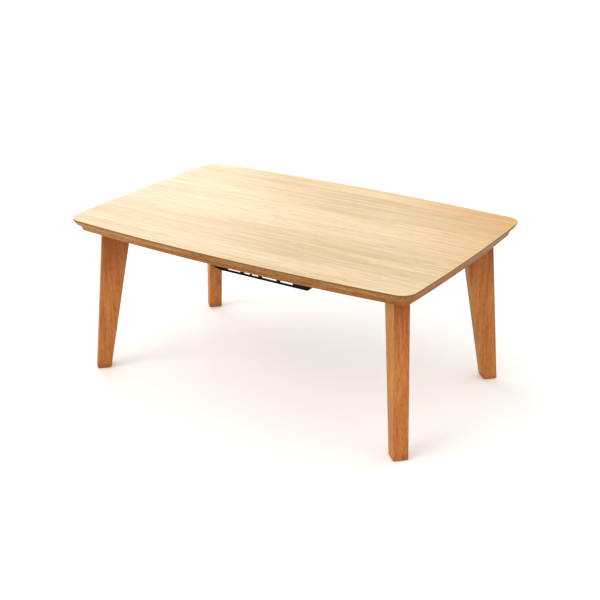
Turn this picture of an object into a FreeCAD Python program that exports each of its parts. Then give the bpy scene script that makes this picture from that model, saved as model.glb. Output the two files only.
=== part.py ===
import FreeCAD, Part

import math
import os
import re

import Sketcher

# Low heated table: a bowed top board that lifts off, a thin wooden frame on four
# raked legs, and an electric heater hung under the middle of the frame.
# X runs along the long side, -Y is the front, +Z is up, the origin is on the floor
# under the middle of the table. Lengths are in millimetres, angles in degrees.

SIZES = {
    # Top board
    "top_length": 900,
    "top_width": 600,
    "table_height": 390,
    "top_thickness": 15,
    "long_bow": 20.5,
    "short_bow": 7,
    "top_corner": 34,
    "lip_height": 3.6,
    "bevel_run": 7,
    "veneer_thickness": 0.6,
    "backing_thickness": 0.6,
    "edge_ease": 0.4,
    # Frame
    "top_gap": 1,
    "rail_height": 17,
    "frame_inset_long": 25,
    "frame_inset_short": 17.5,
    "frame_corner": 10,
    "frame_flare": 6.5,
    "long_rail_width": 52,
    "short_rail_width": 46,
    "cross_rail_width": 38,
    "stretcher_share": 0.437,
    "stretcher_dowel_share": 0.26,
    "rail_ease": 1.2,
    "seat_margin": 8,
    "dowel_radius": 4,
    "dowel_length": 40,
    "dowel_spread": 20,
    "dowel_clearance": 0.1,
    "pad_radius": 10,
    "pad_thickness": 3,
    "pad_setback": 250,
    "pad_clearance": 0.1,
    # Legs
    "foot_inset_x": 41.8,
    "foot_inset_y": 71.6,
    "leg_turn": 45,
    "leg_foot_depth": 33.5,
    "leg_top_depth": 67.5,
    "leg_lean": 33,
    "leg_thickness": 34,
    "leg_ease": 1,
    "glide_height": 2,
    "glide_margin": 2.5,
    # Leg fastenings
    "bolt_radius": 4,
    "bolt_spread": 34,
    "bolt_head_radius": 8.5,
    "bolt_head_height": 2.5,
    "bolt_key_radius": 2.8,
    "bolt_key_depth": 1.8,
    "bolt_engagement": 18,
    "bolt_clearance": 0.25,
    "counterbore_radius": 11,
    "counterbore_depth": 7.5,
    "washer_radius": 10,
    "washer_thickness": 1.5,
    "spring_washer_radius": 7,
    "spring_washer_thickness": 2,
    "spring_washer_gap": 1.5,
    "insert_radius": 6,
    "insert_length": 20,
    "insert_clearance": 0.1,
    # Heater body
    "heater_size": 300,
    "heater_depth": 68,
    "heater_clearance": 2,
    "flange_width": 16,
    "pan_top_gap": 3,
    "sheet": 1.2,
    "flange_thickness": 1.2,
    "vent_length": 60,
    "vent_width": 4,
    "vent_pitch": 14,
    "vent_rows": 5,
    "insulation_thickness": 3,
    "reflector_flap": 58,
    "reflector_side_gap": 4,
    "reflector_drop": 9,
    "reflector_sheet": 1,
    "reflector_end_gap": 10,
    # Guard grille and control box
    "basket_end_margin": 8,
    "basket_side_margin": 2,
    "guard_slope_run": 36,
    "guard_slope_rise": 10,
    "rim_thickness": 2,
    "rim_width": 12,
    "guard_wall": 2,
    "guard_band": 5,
    "guard_corner": 58,
    "post_width": 10,
    "post_pitch": 49,
    "post_start": 4.5,
    "slim_post_width": 4.5,
    "slim_post_offset": 20.5,
    "window_top_gap": 6,
    "ring_window": 28,
    "slot_width": 9,
    "slot_bar": 3,
    "slot_cross_bar": 5,
    "slot_rows": 3,
    "control_length": 45,
    "control_gap": 0.3,
    "control_wall": 2.5,
    "control_chamfer": 12,
    # Heating tubes
    "tube_spacing": 92,
    "tube_drop": 30,
    "tube_radius": 5,
    "tube_wall": 1,
    "tube_inset": 27,
    "cap_radius": 7,
    "cap_length": 24,
    "cap_grip": 9,
    "cap_clearance": 0.15,
    "bracket_thickness": 1.5,
    "bracket_margin": 19,
    "bracket_tail": 12,
    "filament_width": 4,
    "filament_thickness": 1.2,
    "lead_radius": 0.75,
    "lead_reach": 7,
    "strap_width": 6,
    "strap_thickness": 1,
    "strap_slot_margin": 2,
    # Electrical parts
    "terminal_depth": 12,
    "terminal_width": 120,
    "terminal_crown": 3,
    "terminal_gap": 5,
    "terminal_step_width": 60,
    "terminal_step_depth": 16,
    "thermostat_radius": 9,
    "thermostat_height": 10,
    "thermostat_nose_radius": 4.5,
    "thermostat_nose_height": 2,
    "thermostat_setback": 25,
    "fuse_length": 24,
    "fuse_radius": 4,
    "fuse_lead_length": 6,
    "fuse_lead_radius": 0.8,
    "fuse_gap": 17,
    "inlet_width": 40,
    "inlet_height": 28,
    "inlet_length": 24,
    "inlet_lift": 4.6,
    "inlet_lip": 4,
    "inlet_lip_thickness": 2,
    "socket_width": 32,
    "socket_height": 20,
    "socket_depth": 20,
    "pin_radius": 1.8,
    "pin_spacing": 9,
    "pin_length": 12,
    "pin_tail": 4,
    "inlet_clearance": 0.2,
    # Heater screws
    "screw_radius": 1.9,
    "screw_length": 13,
    "screw_head_radius": 3.5,
    "screw_head_height": 2.4,
    "screw_slot_length": 4.2,
    "screw_slot_width": 0.8,
    "screw_slot_depth": 1.2,
    "screw_clearance": 0.15,
    "heater_screw_margin": 4,
    "heater_screw_setback": 30,
    "guard_screw_margin": 8.2,
    "guard_screw_setback": 80,
    # How far a cut runs past the face it goes through
    "overrun": 5,
    # How near to a level an edge has to be to count as lying on it
    "level_slack": 0.05,
}

# Sizes worked out from the ones above, each written as a sum of their names.
DERIVED = {
    "board_underside": "table_height - top_thickness",
    "board_face": "table_height - veneer_thickness",
    "board_lip": "table_height - lip_height",
    "board_back": "board_underside + backing_thickness",
    "back_run": "bevel_run * (board_lip - board_back) / (board_lip - board_underside)",
    "frame_top": "board_underside - top_gap",
    "underside_height": "frame_top - rail_height",
    "frame_length": "top_length - 2 * frame_inset_short",
    "frame_width": "top_width - 2 * frame_inset_long",
    "frame_reach_x": "frame_length / 2 + frame_flare + overrun",
    "frame_reach_y": "frame_width / 2 + frame_flare + overrun",
    "rail_middle": "(frame_top + underside_height) / 2",
    "inner_x": "frame_length / 2 - short_rail_width",
    "inner_y": "frame_width / 2 - long_rail_width",
    "pad_reach": "top_length / 2 - pad_setback",
    "foot_x": "top_length / 2 - foot_inset_x",
    "foot_y": "top_width / 2 - foot_inset_y",
    "leg_top_outer": "leg_foot_depth / 2 - leg_lean",
    "leg_top_inner": "leg_top_outer - leg_top_depth",
    "leg_top_middle": "(leg_top_outer + leg_top_inner) / 2",
    "seat_edge": "leg_top_inner - seat_margin",
    "joint_x": "foot_x - inner_y + foot_y + seat_edge / cos(leg_turn)",
    "joint_y": "foot_x - inner_x + foot_y + seat_edge / cos(leg_turn)",
    "pan_size": "heater_size - 2 * flange_width",
    "cross_inner": "pan_size / 2 + heater_clearance",
    "cross_outer": "cross_inner + cross_rail_width",
    "cross_middle": "(cross_inner + cross_outer) / 2",
    "stretcher_width": "stretcher_share * (inner_y - cross_inner)",
    "stretcher_outer": "cross_inner + stretcher_width",
    "stretcher_middle": "cross_inner + stretcher_width / 2",
    "bolt_seat": "frame_top - counterbore_depth",
    "pan_top": "frame_top - pan_top_gap",
    "flange_bottom": "underside_height - flange_thickness",
    "rim_bottom": "flange_bottom - rim_thickness",
    "heater_bottom": "underside_height - heater_depth",
    "basket_depth": "heater_size - 2 * basket_side_margin",
    "basket_end": "heater_size / 2 - basket_end_margin",
    "control_start": "basket_end - control_length",
    "guard_end": "control_start - control_gap",
    "guard_slope_length": "sqrt(guard_slope_run * guard_slope_run + guard_slope_rise * guard_slope_rise)",
    "guard_slope_end": "guard_slope_run - basket_end",
    "guard_slope_shift": "guard_wall * (guard_slope_length - guard_slope_run) / guard_slope_rise",
    "guard_floor_start": "guard_slope_end + guard_slope_shift",
    "plate_bottom": "pan_top - sheet",
    "reflector_top": "plate_bottom - insulation_thickness",
    "reflector_face": "reflector_top - reflector_sheet",
    "reflector_start": "reflector_end_gap - pan_size / 2",
    "reflector_width": "pan_size - 2 * reflector_side_gap",
    "reflector_flat": "reflector_width - 2 * reflector_flap",
    "tube_height": "reflector_face - tube_drop",
    "tube_start": "tube_inset - basket_end",
    "tube_end": "guard_end - tube_inset",
    "cap_start": "tube_start + cap_grip - cap_length",
    "cap_end": "tube_end - cap_grip + cap_length",
    "bracket_width": "tube_spacing + 2 * bracket_margin",
    "strap_height": "tube_height + lead_radius",
    "terminal_height": "strap_height + strap_thickness + terminal_crown - floor_inside",
    "screw_x": "heater_size / 2 - heater_screw_margin",
    "screw_y": "heater_size / 2 - heater_screw_setback",
    "guard_screw_x": "heater_size / 2 - guard_screw_setback",
    "guard_screw_y": "heater_size / 2 - guard_screw_margin",
    "thermostat_x": "tube_end - thermostat_setback",
    "fuse_reach": "fuse_length / 2 + fuse_lead_length",
    "fuse_x": "thermostat_x - thermostat_radius - fuse_gap - fuse_reach",
    "inlet_middle": "(flange_bottom + heater_bottom) / 2 + inlet_lift",
    "inlet_back": "basket_end - inlet_length",
    "inlet_front": "basket_end + inlet_lip_thickness",
    "socket_back": "inlet_front - socket_depth",
    "terminal_start": "control_start + control_wall + terminal_gap",
    "floor_inside": "heater_bottom + control_wall",
    "window_floor": "heater_bottom + guard_band",
    "window_ceiling": "rim_bottom - window_top_gap",
}

CORNERS = {
    "front_left": (-1, -1),
    "front_right": (1, -1),
    "back_left": (-1, 1),
    "back_right": (1, 1),
}

doc = FreeCAD.newDocument("HeatedTable")
sheet = doc.addObject("Spreadsheet::Sheet", "Sizes")
parts = []


def fill_sheet():
    for row, (name, number) in enumerate(SIZES.items(), start=1):
        sheet.set("A%d" % row, name)
        sheet.set("B%d" % row, str(number))
        sheet.setAlias("B%d" % row, name)
    doc.recompute()


def sized(text):
    """Turns the names in a sum into references to the sheet's cells."""
    def swap(match):
        word = match.group(0)
        if word in DERIVED:
            return "(" + sized(DERIVED[word]) + ")"
        if word in SIZES:
            return "Sizes." + word
        return word
    return re.sub(r"[A-Za-z_][A-Za-z_0-9]*", swap, str(text))


def value(text):
    """The number that a sum of sizes has now."""
    result = sheet.evalExpression(sized(text))
    return float(getattr(result, "Value", result))


def new_body(name):
    body = doc.addObject("PartDesign::Body", name)
    body.Label = name
    parts.append(body)
    return body


def place(body, x="0", y="0", z="0", turn="0"):
    axis = FreeCAD.Vector(0, 0, 1)
    body.Placement = FreeCAD.Placement(FreeCAD.Vector(0, 0, 0), FreeCAD.Rotation(axis, 1))
    body.setExpression("Placement.Base.x", sized(x))
    body.setExpression("Placement.Base.y", sized(y))
    body.setExpression("Placement.Base.z", sized(z))
    body.setExpression("Placement.Rotation.Angle", sized(turn))


def new_sketch(body, plane, level):
    """A sketch on one of the body's own planes, moved to a level along the plane's axis."""
    sketch = body.newObject("Sketcher::SketchObject", body.Name + "_sketch")
    origin = [item for item in body.Origin.OriginFeatures if item.Role == plane + "_Plane"][0]
    sketch.AttachmentSupport = (origin, [""])
    sketch.MapMode = "FlatFace"
    # The XZ plane faces -Y, so a level along +Y is a negative offset there.
    offset = "-1 * (%s)" % level if plane == "XZ" else level
    sketch.setExpression("AttachmentOffset.Base.z", sized(offset))
    return sketch


def bind(sketch, kind, items, text):
    """Adds a dimension to a sketch and ties it to a sum of sizes."""
    index = sketch.addConstraint(Sketcher.Constraint(kind, *items, value(text)))
    sketch.setExpression("Constraints[%d]" % index, sized(text))


def add_polygon(sketch, points):
    """A closed outline of straight lines whose corners are given as sums of sizes."""
    spots = [FreeCAD.Vector(value(x), value(y), 0) for x, y in points]
    first = sketch.GeometryCount
    count = len(points)
    for index in range(count):
        line = Part.LineSegment(spots[index], spots[(index + 1) % count])
        sketch.addGeometry(line)
    for index in range(count):
        ends = (first + index, 2, first + (index + 1) % count, 1)
        sketch.addConstraint(Sketcher.Constraint("Coincident", *ends))
    for index, (x, y) in enumerate(points):
        bind(sketch, "DistanceX", (-1, 1, first + index, 1), x)
        bind(sketch, "DistanceY", (-1, 1, first + index, 1), y)


def add_rectangle(sketch, x0, x1, y0, y1):
    add_polygon(sketch, [(x0, y0), (x1, y0), (x1, y1), (x0, y1)])


def add_circles(sketch, places, radius):
    for x, y in places:
        centre = FreeCAD.Vector(value(x), value(y), 0)
        circle = Part.Circle(centre, FreeCAD.Vector(0, 0, 1), value(radius))
        index = sketch.addGeometry(circle)
        bind(sketch, "DistanceX", (-1, 1, index, 3), x)
        bind(sketch, "DistanceY", (-1, 1, index, 3), y)
        bind(sketch, "Radius", (index,), radius)


def pad(body, sketch, length, both_ways=False, backwards=False):
    feature = body.newObject("PartDesign::Pad", body.Name + "_pad")
    feature.Profile = sketch
    feature.setExpression("Length", sized(length))
    feature.Midplane = both_ways
    feature.Reversed = backwards
    doc.recompute()
    return feature


def pocket(body, sketch, length, both_ways=False, upwards=False):
    """Cuts down from the sketch, or up from it, or as far both ways. The solid must shrink."""
    before = body.Shape.Volume
    feature = body.newObject("PartDesign::Pocket", body.Name + "_pocket")
    feature.Profile = sketch
    feature.setExpression("Length", sized(length))
    feature.Midplane = both_ways
    feature.Reversed = upwards
    doc.recompute()
    if not body.Shape.Volume < before:
        raise RuntimeError("a cut in %s removes nothing" % body.Name)
    return feature


def ease(body, kind, size, wanted):
    """Rounds or chamfers the edges of the body that pass a test."""
    doc.recompute()
    base = body.Tip
    names = []
    for index, edge in enumerate(base.Shape.Edges, start=1):
        if wanted(edge):
            names.append("Edge%d" % index)
    if not names:
        raise RuntimeError("no edge to ease on %s" % body.Name)
    feature = body.newObject("PartDesign::" + kind, body.Name + "_ease")
    feature.Base = (base, names)
    feature.setExpression("Radius" if kind == "Fillet" else "Size", sized(size))
    doc.recompute()
    return feature


def level_edges(height):
    """A test for edges that lie flat at one height."""
    level = value(height)
    slack = value("level_slack")

    def test(edge):
        box = edge.BoundBox
        return abs(box.ZMin - level) < slack and abs(box.ZMax - level) < slack
    return test


def add_bowed_outline(sketch, length, width, corner):
    """An outline whose four sides bow outwards as arcs, joined by tangent corner arcs."""
    long_radius = "((%s) / 2 - short_bow) ^ 2 / (2 * long_bow) + long_bow / 2" % length
    short_radius = "((%s) / 2 - long_bow) ^ 2 / (2 * short_bow) + short_bow / 2" % width
    long_centre = "(%s) - (%s) / 2" % (long_radius, width)
    short_centre = "(%s) - (%s) / 2" % (short_radius, length)
    far_y, far_x = value(long_centre), value(short_centre)
    reach_y, reach_x = value(long_radius), value(short_radius)
    round_off = value(corner)
    # The corner arc's centre is where two circles cross, each drawn in by the corner radius.
    ring_a, ring_b = reach_y - round_off, reach_x - round_off
    apart = math.hypot(far_x, far_y)
    along = (ring_a ** 2 - ring_b ** 2 + apart ** 2) / (2 * apart)
    aside = math.sqrt(ring_a ** 2 - along ** 2)
    unit_x, unit_y = -far_x / apart, -far_y / apart
    corner_x = along * unit_x - aside * unit_y
    corner_y = far_y + along * unit_y + aside * unit_x
    if corner_x < 0 or corner_y > 0:
        corner_x = along * unit_x + aside * unit_y
        corner_y = far_y + along * unit_y - aside * unit_x
    low = math.atan2(corner_y - far_y, corner_x)
    high = math.atan2(corner_y, corner_x + far_x)
    half_long = math.pi / 2 + low
    half_short = -high
    sides = [
        (0, far_y, reach_y, -math.pi / 2, half_long),
        (-far_x, 0, reach_x, 0, half_short),
        (0, -far_y, reach_y, math.pi / 2, half_long),
        (far_x, 0, reach_x, math.pi, half_short),
    ]
    corners = [
        (corner_x, corner_y, low, high),
        (corner_x, -corner_y, -high, -low),
        (-corner_x, -corner_y, math.pi + low, math.pi + high),
        (-corner_x, corner_y, math.pi - high, math.pi - low),
    ]
    up = FreeCAD.Vector(0, 0, 1)
    for x, y, radius, middle, half in sides:
        circle = Part.Circle(FreeCAD.Vector(x, y, 0), up, radius)
        sketch.addGeometry(Part.ArcOfCircle(circle, middle - half, middle + half))
    for x, y, start, end in corners:
        circle = Part.Circle(FreeCAD.Vector(x, y, 0), up, round_off)
        sketch.addGeometry(Part.ArcOfCircle(circle, start, end))
    for index in range(4):
        sketch.addConstraint(Sketcher.Constraint("Tangent", index, 2, 4 + index, 1))
        following = (index + 1) % 4
        sketch.addConstraint(Sketcher.Constraint("Tangent", 4 + index, 2, following, 1))
    for index, sign in ((0, 1), (2, -1)):
        sketch.addConstraint(Sketcher.Constraint("PointOnObject", index, 3, -2))
        bind(sketch, "DistanceY", (-1, 1, index, 3), "%d * (%s)" % (sign, long_centre))
        bind(sketch, "Radius", (index,), long_radius)
    for index, sign in ((1, -1), (3, 1)):
        sketch.addConstraint(Sketcher.Constraint("PointOnObject", index, 3, -1))
        bind(sketch, "DistanceX", (-1, 1, index, 3), "%d * (%s)" % (sign, short_centre))
        bind(sketch, "Radius", (index,), short_radius)
    for index in range(4, 8):
        bind(sketch, "Radius", (index,), corner)


def top_outline(body, level, inset):
    """The top board's outline at one level, drawn in by an inset."""
    sketch = new_sketch(body, "XY", level)
    length = "top_length - 2 * (%s)" % inset
    width = "top_width - 2 * (%s)" % inset
    add_bowed_outline(sketch, length, width, "top_corner - (%s)" % inset)
    return sketch


def ruled_loft(body, lower, upper):
    feature = body.newObject("PartDesign::AdditiveLoft", body.Name + "_loft")
    feature.Profile = lower
    feature.Sections = [upper]
    feature.Ruled = True
    doc.recompute()
    return feature


# Top board

def make_top_board():
    """The core with its undercut edge: a thin upright lip over a bevel that runs inwards."""
    body = new_body("top_board")
    ruled_loft(body, top_outline(body, "board_back", "back_run"), top_outline(body, "board_lip", "0"))
    pad(body, top_outline(body, "board_lip", "0"), "board_face - board_lip")


def make_top_veneer():
    body = new_body("top_veneer")
    pad(body, top_outline(body, "board_face", "0"), "veneer_thickness")
    ease(body, "Fillet", "edge_ease", level_edges("table_height"))


def make_top_backing():
    body = new_body("top_backing")
    lower = top_outline(body, "board_underside", "bevel_run")
    ruled_loft(body, lower, top_outline(body, "board_back", "back_run"))


# Frame

def dowel_rows():
    """Each row of dowels: plane, level of the joint, and the dowels' places in that plane."""
    half = "dowel_spread / 2"
    rail_y = "(inner_y + frame_width / 2 - long_bow) / 2"
    rail_x = "(inner_x + frame_length / 2 - short_bow) / 2"
    kinds = [
        ("YZ", "joint_x", rail_y, half),
        ("XZ", "joint_y", rail_x, half),
        ("XZ", "inner_y", "cross_middle", half),
        ("YZ", "cross_inner", "stretcher_middle", "stretcher_dowel_share * stretcher_width"),
    ]
    rows = []
    for plane, level, middle, reach in kinds:
        places = []
        for side in (-1, 1):
            for step in (-1, 1):
                places.append(("%d * (%s) + %d * (%s)" % (side, middle, step, reach), "rail_middle"))
        for end in (-1, 1):
            rows.append((plane, "%d * %s" % (end, level), places))
    return rows


def bore_dowels(body):
    """Blind holes for every dowel that enters this piece, found by its corner points."""
    spots_x = [corner.X for corner in body.Shape.Vertexes]
    spots_y = [corner.Y for corner in body.Shape.Vertexes]
    for plane, level, places in dowel_rows():
        depth = value(level)
        along, across = (spots_x, spots_y) if plane == "YZ" else (spots_y, spots_x)
        slack = value("level_slack")
        touching = [place for place in places if min(across) < value(place[0]) < max(across)]
        if not touching or min(abs(depth - min(along)), abs(depth - max(along))) > slack:
            continue
        sketch = new_sketch(body, plane, level)
        add_circles(sketch, touching, "dowel_radius + dowel_clearance")
        pocket(body, sketch, "dowel_length + 2 * dowel_clearance", both_ways=True)


def pad_places():
    rail_y = "inner_y + long_rail_width / 2"
    rail_x = "inner_x + short_rail_width / 2"
    places = [("%d * (%s)" % (side, rail_x), "0") for side in (-1, 1)]
    for end in (-1, 1):
        for side in (-1, 1):
            places.append(("%d * pad_reach" % end, "%d * (%s)" % (side, rail_y)))
    return places


def frame_outline(body, level, flare):
    """The frame's outline at one level, let out by a flare."""
    sketch = new_sketch(body, "XY", level)
    length = "frame_length + 2 * (%s)" % flare
    width = "frame_width + 2 * (%s)" % flare
    add_bowed_outline(sketch, length, width, "frame_corner + (%s)" % flare)
    return sketch


def frame_blank(name, points):
    """A piece of the frame: the whole outline with its flared sides, cut down to one polygon."""
    body = new_body(name)
    lower = frame_outline(body, "underside_height", "0")
    ruled_loft(body, lower, frame_outline(body, "frame_top", "frame_flare"))
    waste = new_sketch(body, "XY", "frame_top + overrun")
    far_x = "frame_reach_x + overrun"
    far_y = "frame_reach_y + overrun"
    add_rectangle(waste, "-1 * (%s)" % far_x, far_x, "-1 * (%s)" % far_y, far_y)
    add_polygon(waste, points)
    pocket(body, waste, "rail_height + 2 * overrun")
    return body


def ease_frame_edge(body):
    """Rounds the lower outer edge: the curved one that shows under the top board."""
    flat = level_edges("underside_height")
    ease(body, "Fillet", "rail_ease", lambda edge: flat(edge) and not isinstance(edge.Curve, Part.Line))


def sink_pads(body, places):
    sketch = new_sketch(body, "XY", "frame_top")
    add_circles(sketch, places, "pad_radius + pad_clearance")
    pocket(body, sketch, "pad_thickness - top_gap")


def make_long_rail(name, side):
    far = "%d * frame_reach_y" % side
    near = "%d * inner_y" % side
    points = [("-1 * joint_x", near), ("joint_x", near), ("joint_x", far), ("-1 * joint_x", far)]
    body = frame_blank(name, points)
    ease_frame_edge(body)
    sink_pads(body, [spot for spot in pad_places() if value(spot[1]) * side > 0])
    bore_dowels(body)


def make_short_rail(name, end):
    far = "%d * frame_reach_x" % end
    near = "%d * inner_x" % end
    points = [(near, "-1 * joint_y"), (near, "joint_y"), (far, "joint_y"), (far, "-1 * joint_y")]
    body = frame_blank(name, points)
    ease_frame_edge(body)
    sink_pads(body, [spot for spot in pad_places() if value(spot[0]) * end > 0 and spot[1] == "0"])
    bore_dowels(body)


def bolt_places(end, side):
    """The two bolts of one leg, in a line across the corner."""
    places = []
    for step in (-1, 1):
        reach = "(leg_top_middle + %d * bolt_spread / 2)" % step
        x = "%d * (foot_x + %s * cos(leg_turn))" % (end, reach)
        y = "%d * (foot_y + %s * sin(leg_turn))" % (side, reach)
        places.append((x, y))
    return places


def all_bolt_places():
    places = []
    for end, side in CORNERS.values():
        places += bolt_places(end, side)
    return places


def make_corner_block(name, end, side):
    """The solid corner that carries a leg, with two bolt holes sunk from above."""
    far_x = "%d * frame_reach_x" % end
    far_y = "%d * frame_reach_y" % side
    joint_x, joint_y = "%d * joint_x" % end, "%d * joint_y" % side
    points = [
        (joint_x, "%d * inner_y" % side),
        ("%d * inner_x" % end, joint_y),
        (far_x, joint_y),
        (far_x, far_y),
        (joint_x, far_y),
    ]
    body = frame_blank(name, points)
    ease_frame_edge(body)
    counterbores = new_sketch(body, "XY", "frame_top")
    add_circles(counterbores, bolt_places(end, side), "counterbore_radius")
    pocket(body, counterbores, "counterbore_depth")
    holes = new_sketch(body, "XY", "frame_top")
    add_circles(holes, bolt_places(end, side), "bolt_radius + bolt_clearance")
    pocket(body, holes, "rail_height + overrun")
    bore_dowels(body)


def heater_screw_places():
    return [("%d * screw_x" % end, "%d * screw_y" % side) for end in (-1, 1) for side in (-1, 1)]


def make_cross_rail(name, end):
    """A rail across the frame that carries one edge of the heater."""
    body = new_body(name)
    plan = new_sketch(body, "XY", "underside_height")
    low, high = ("cross_inner", "cross_outer") if end > 0 else ("-1 * cross_outer", "-1 * cross_inner")
    add_rectangle(plan, low, high, "-1 * inner_y", "inner_y")
    pad(body, plan, "rail_height")
    holes = new_sketch(body, "XY", "underside_height")
    places = [spot for spot in heater_screw_places() if value(spot[0]) * end > 0]
    add_circles(holes, places, "screw_radius + screw_clearance")
    pocket(body, holes, "screw_length", upwards=True)
    bore_dowels(body)


def make_stretcher(name, side):
    """A short rail between the two cross rails, closing the heater's opening."""
    body = new_body(name)
    plan = new_sketch(body, "XY", "underside_height")
    low, high = "%d * cross_inner" % side, "%d * stretcher_outer" % side
    add_rectangle(plan, "-1 * cross_inner", "cross_inner", low, high)
    pad(body, plan, "rail_height")
    holes = new_sketch(body, "XY", "underside_height")
    places = [spot for spot in guard_screw_places() if value(spot[1]) * side > 0]
    add_circles(holes, places, "screw_radius + screw_clearance")
    pocket(body, holes, "screw_length", upwards=True)
    bore_dowels(body)


def make_frame_dowels():
    body = new_body("frame_dowels")
    for plane, level, places in dowel_rows():
        sketch = new_sketch(body, plane, level)
        add_circles(sketch, places, "dowel_radius")
        pad(body, sketch, "dowel_length", both_ways=True)


def make_top_pads():
    body = new_body("top_pads")
    sketch = new_sketch(body, "XY", "frame_top - pad_thickness + top_gap")
    add_circles(sketch, pad_places(), "pad_radius")
    pad(body, sketch, "pad_thickness")


# Legs

def leg_angle(end, side):
    """The turn that points a leg's own X axis out of its corner."""
    if end > 0:
        return "%d * leg_turn" % side
    return "180 - %d * leg_turn" % side


def make_leg(name, end, side):
    """A flat tapered leg that leans outwards to its foot, set across the corner."""
    body = new_body(name)
    profile = new_sketch(body, "XZ", "0")
    points = [
        ("-1 * leg_foot_depth / 2", "glide_height"),
        ("leg_foot_depth / 2", "glide_height"),
        ("leg_top_outer", "underside_height"),
        ("leg_top_inner", "underside_height"),
    ]
    add_polygon(profile, points)
    pad(body, profile, "leg_thickness", both_ways=True)
    top = value("underside_height")
    ease(body, "Chamfer", "leg_ease", lambda edge: edge.BoundBox.ZMin < top - value("overrun"))
    bores = new_sketch(body, "XY", "underside_height")
    places = [("leg_top_middle + %d * bolt_spread / 2" % step, "0") for step in (-1, 1)]
    add_circles(bores, places, "insert_radius + insert_clearance")
    pocket(body, bores, "bolt_engagement + 2 * overrun")
    place(body, "%d * foot_x" % end, "%d * foot_y" % side, "0", leg_angle(end, side))


def make_foot_glide(name, end, side):
    body = new_body(name)
    plan = new_sketch(body, "XY", "0")
    half_x = "leg_foot_depth / 2 - glide_margin"
    half_y = "leg_thickness / 2 - glide_margin"
    add_rectangle(plan, "-1 * (%s)" % half_x, half_x, "-1 * (%s)" % half_y, half_y)
    pad(body, plan, "glide_height")
    place(body, "%d * foot_x" % end, "%d * foot_y" % side, "0", leg_angle(end, side))


def ring_group(name, level, height, outer, inner):
    """The same ring at every leg bolt."""
    body = new_body(name)
    sketch = new_sketch(body, "XY", level)
    add_circles(sketch, all_bolt_places(), outer)
    add_circles(sketch, all_bolt_places(), inner)
    pad(body, sketch, height)
    return body


def make_leg_fastenings():
    bore = "bolt_radius + bolt_clearance"
    ring_group("leg_inserts", "underside_height - insert_length", "insert_length", "insert_radius", bore)
    ring_group("leg_washers", "bolt_seat", "washer_thickness", "washer_radius", bore)
    level = "bolt_seat + washer_thickness"
    springs = ring_group("spring_washers", level, "spring_washer_thickness", "spring_washer_radius", bore)
    cuts = new_sketch(springs, "XY", level + " - overrun")
    for x, y in all_bolt_places():
        half = "spring_washer_gap / 2"
        add_rectangle(cuts, x + " - " + half, x + " + " + half, y, y + " + spring_washer_radius + overrun")
    pocket(springs, cuts, "spring_washer_thickness + 2 * overrun", upwards=True)
    head_level = level + " + spring_washer_thickness"
    bolts = new_body("leg_bolts")
    shanks = new_sketch(bolts, "XY", "underside_height - bolt_engagement")
    add_circles(shanks, all_bolt_places(), "bolt_radius")
    pad(bolts, shanks, "%s - underside_height + bolt_engagement" % head_level)
    heads = new_sketch(bolts, "XY", head_level)
    add_circles(heads, all_bolt_places(), "bolt_head_radius")
    pad(bolts, heads, "bolt_head_height")
    keys = new_sketch(bolts, "XY", head_level + " + bolt_head_height")
    for x, y in all_bolt_places():
        points = []
        for step in range(6):
            points.append((x + " + bolt_key_radius * cos(60 * %d)" % step,
                           y + " + bolt_key_radius * sin(60 * %d)" % step))
        add_polygon(keys, points)
    pocket(bolts, keys, "bolt_key_depth")


# Heater

def make_heater_pan():
    """The steel pan in the frame's opening, with a flange under the rails and vents on top."""
    body = new_body("heater_pan")
    shell = new_sketch(body, "XY", "flange_bottom")
    half = "pan_size / 2"
    add_rectangle(shell, "-1 * " + half, half, "-1 * " + half, half)
    pad(body, shell, "pan_top - flange_bottom")
    flange = new_sketch(body, "XY", "flange_bottom")
    edge = "heater_size / 2"
    add_rectangle(flange, "-1 * " + edge, edge, "-1 * " + edge, edge)
    pad(body, flange, "flange_thickness")
    hollow = new_sketch(body, "XY", "flange_bottom")
    inside = "pan_size / 2 - sheet"
    add_rectangle(hollow, "-1 * (%s)" % inside, inside, "-1 * (%s)" % inside, inside)
    pocket(body, hollow, "plate_bottom - flange_bottom", upwards=True)
    screws = new_sketch(body, "XY", "underside_height")
    add_circles(screws, heater_screw_places() + guard_screw_places(), "screw_radius + screw_clearance")
    pocket(body, screws, "flange_thickness + overrun")
    vents = new_sketch(body, "XY", "pan_top + overrun")
    for side in (-1, 1):
        for step in range(SIZES["vent_rows"]):
            y = "%d * (reflector_flat / 2 + vent_width + vent_pitch * %d)" % (side, step)
            if abs(value(y)) + value("vent_width") < value(inside):
                add_rectangle(vents, "-1 * vent_length", "vent_length", y, y + " + vent_width")
    pocket(body, vents, "sheet + 2 * overrun")


def make_insulation():
    body = new_body("insulation_pad")
    plan = new_sketch(body, "XY", "reflector_top")
    add_rectangle(plan, "reflector_start", "guard_end", "-1 * reflector_flat / 2", "reflector_flat / 2")
    pad(body, plan, "insulation_thickness")


def make_reflector():
    """A bright sheet, flat over the tubes and folded down towards both sides."""
    body = new_body("heat_reflector")
    profile = new_sketch(body, "YZ", "(reflector_start + guard_end) / 2")
    flat = "reflector_flat / 2"
    wide = "reflector_width / 2"
    foot = "reflector_face - reflector_drop"
    points = [
        ("-1 * " + wide, foot),
        ("-1 * " + flat, "reflector_face"),
        (flat, "reflector_face"),
        (wide, foot),
        (wide, foot + " + reflector_sheet"),
        (flat, "reflector_top"),
        ("-1 * " + flat, "reflector_top"),
        ("-1 * " + wide, foot + " + reflector_sheet"),
    ]
    add_polygon(profile, points)
    pad(body, profile, "guard_end - reflector_start", both_ways=True)


def tube_places():
    return [("%d * tube_spacing / 2" % side, "tube_height") for side in (-1, 1)]


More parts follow.
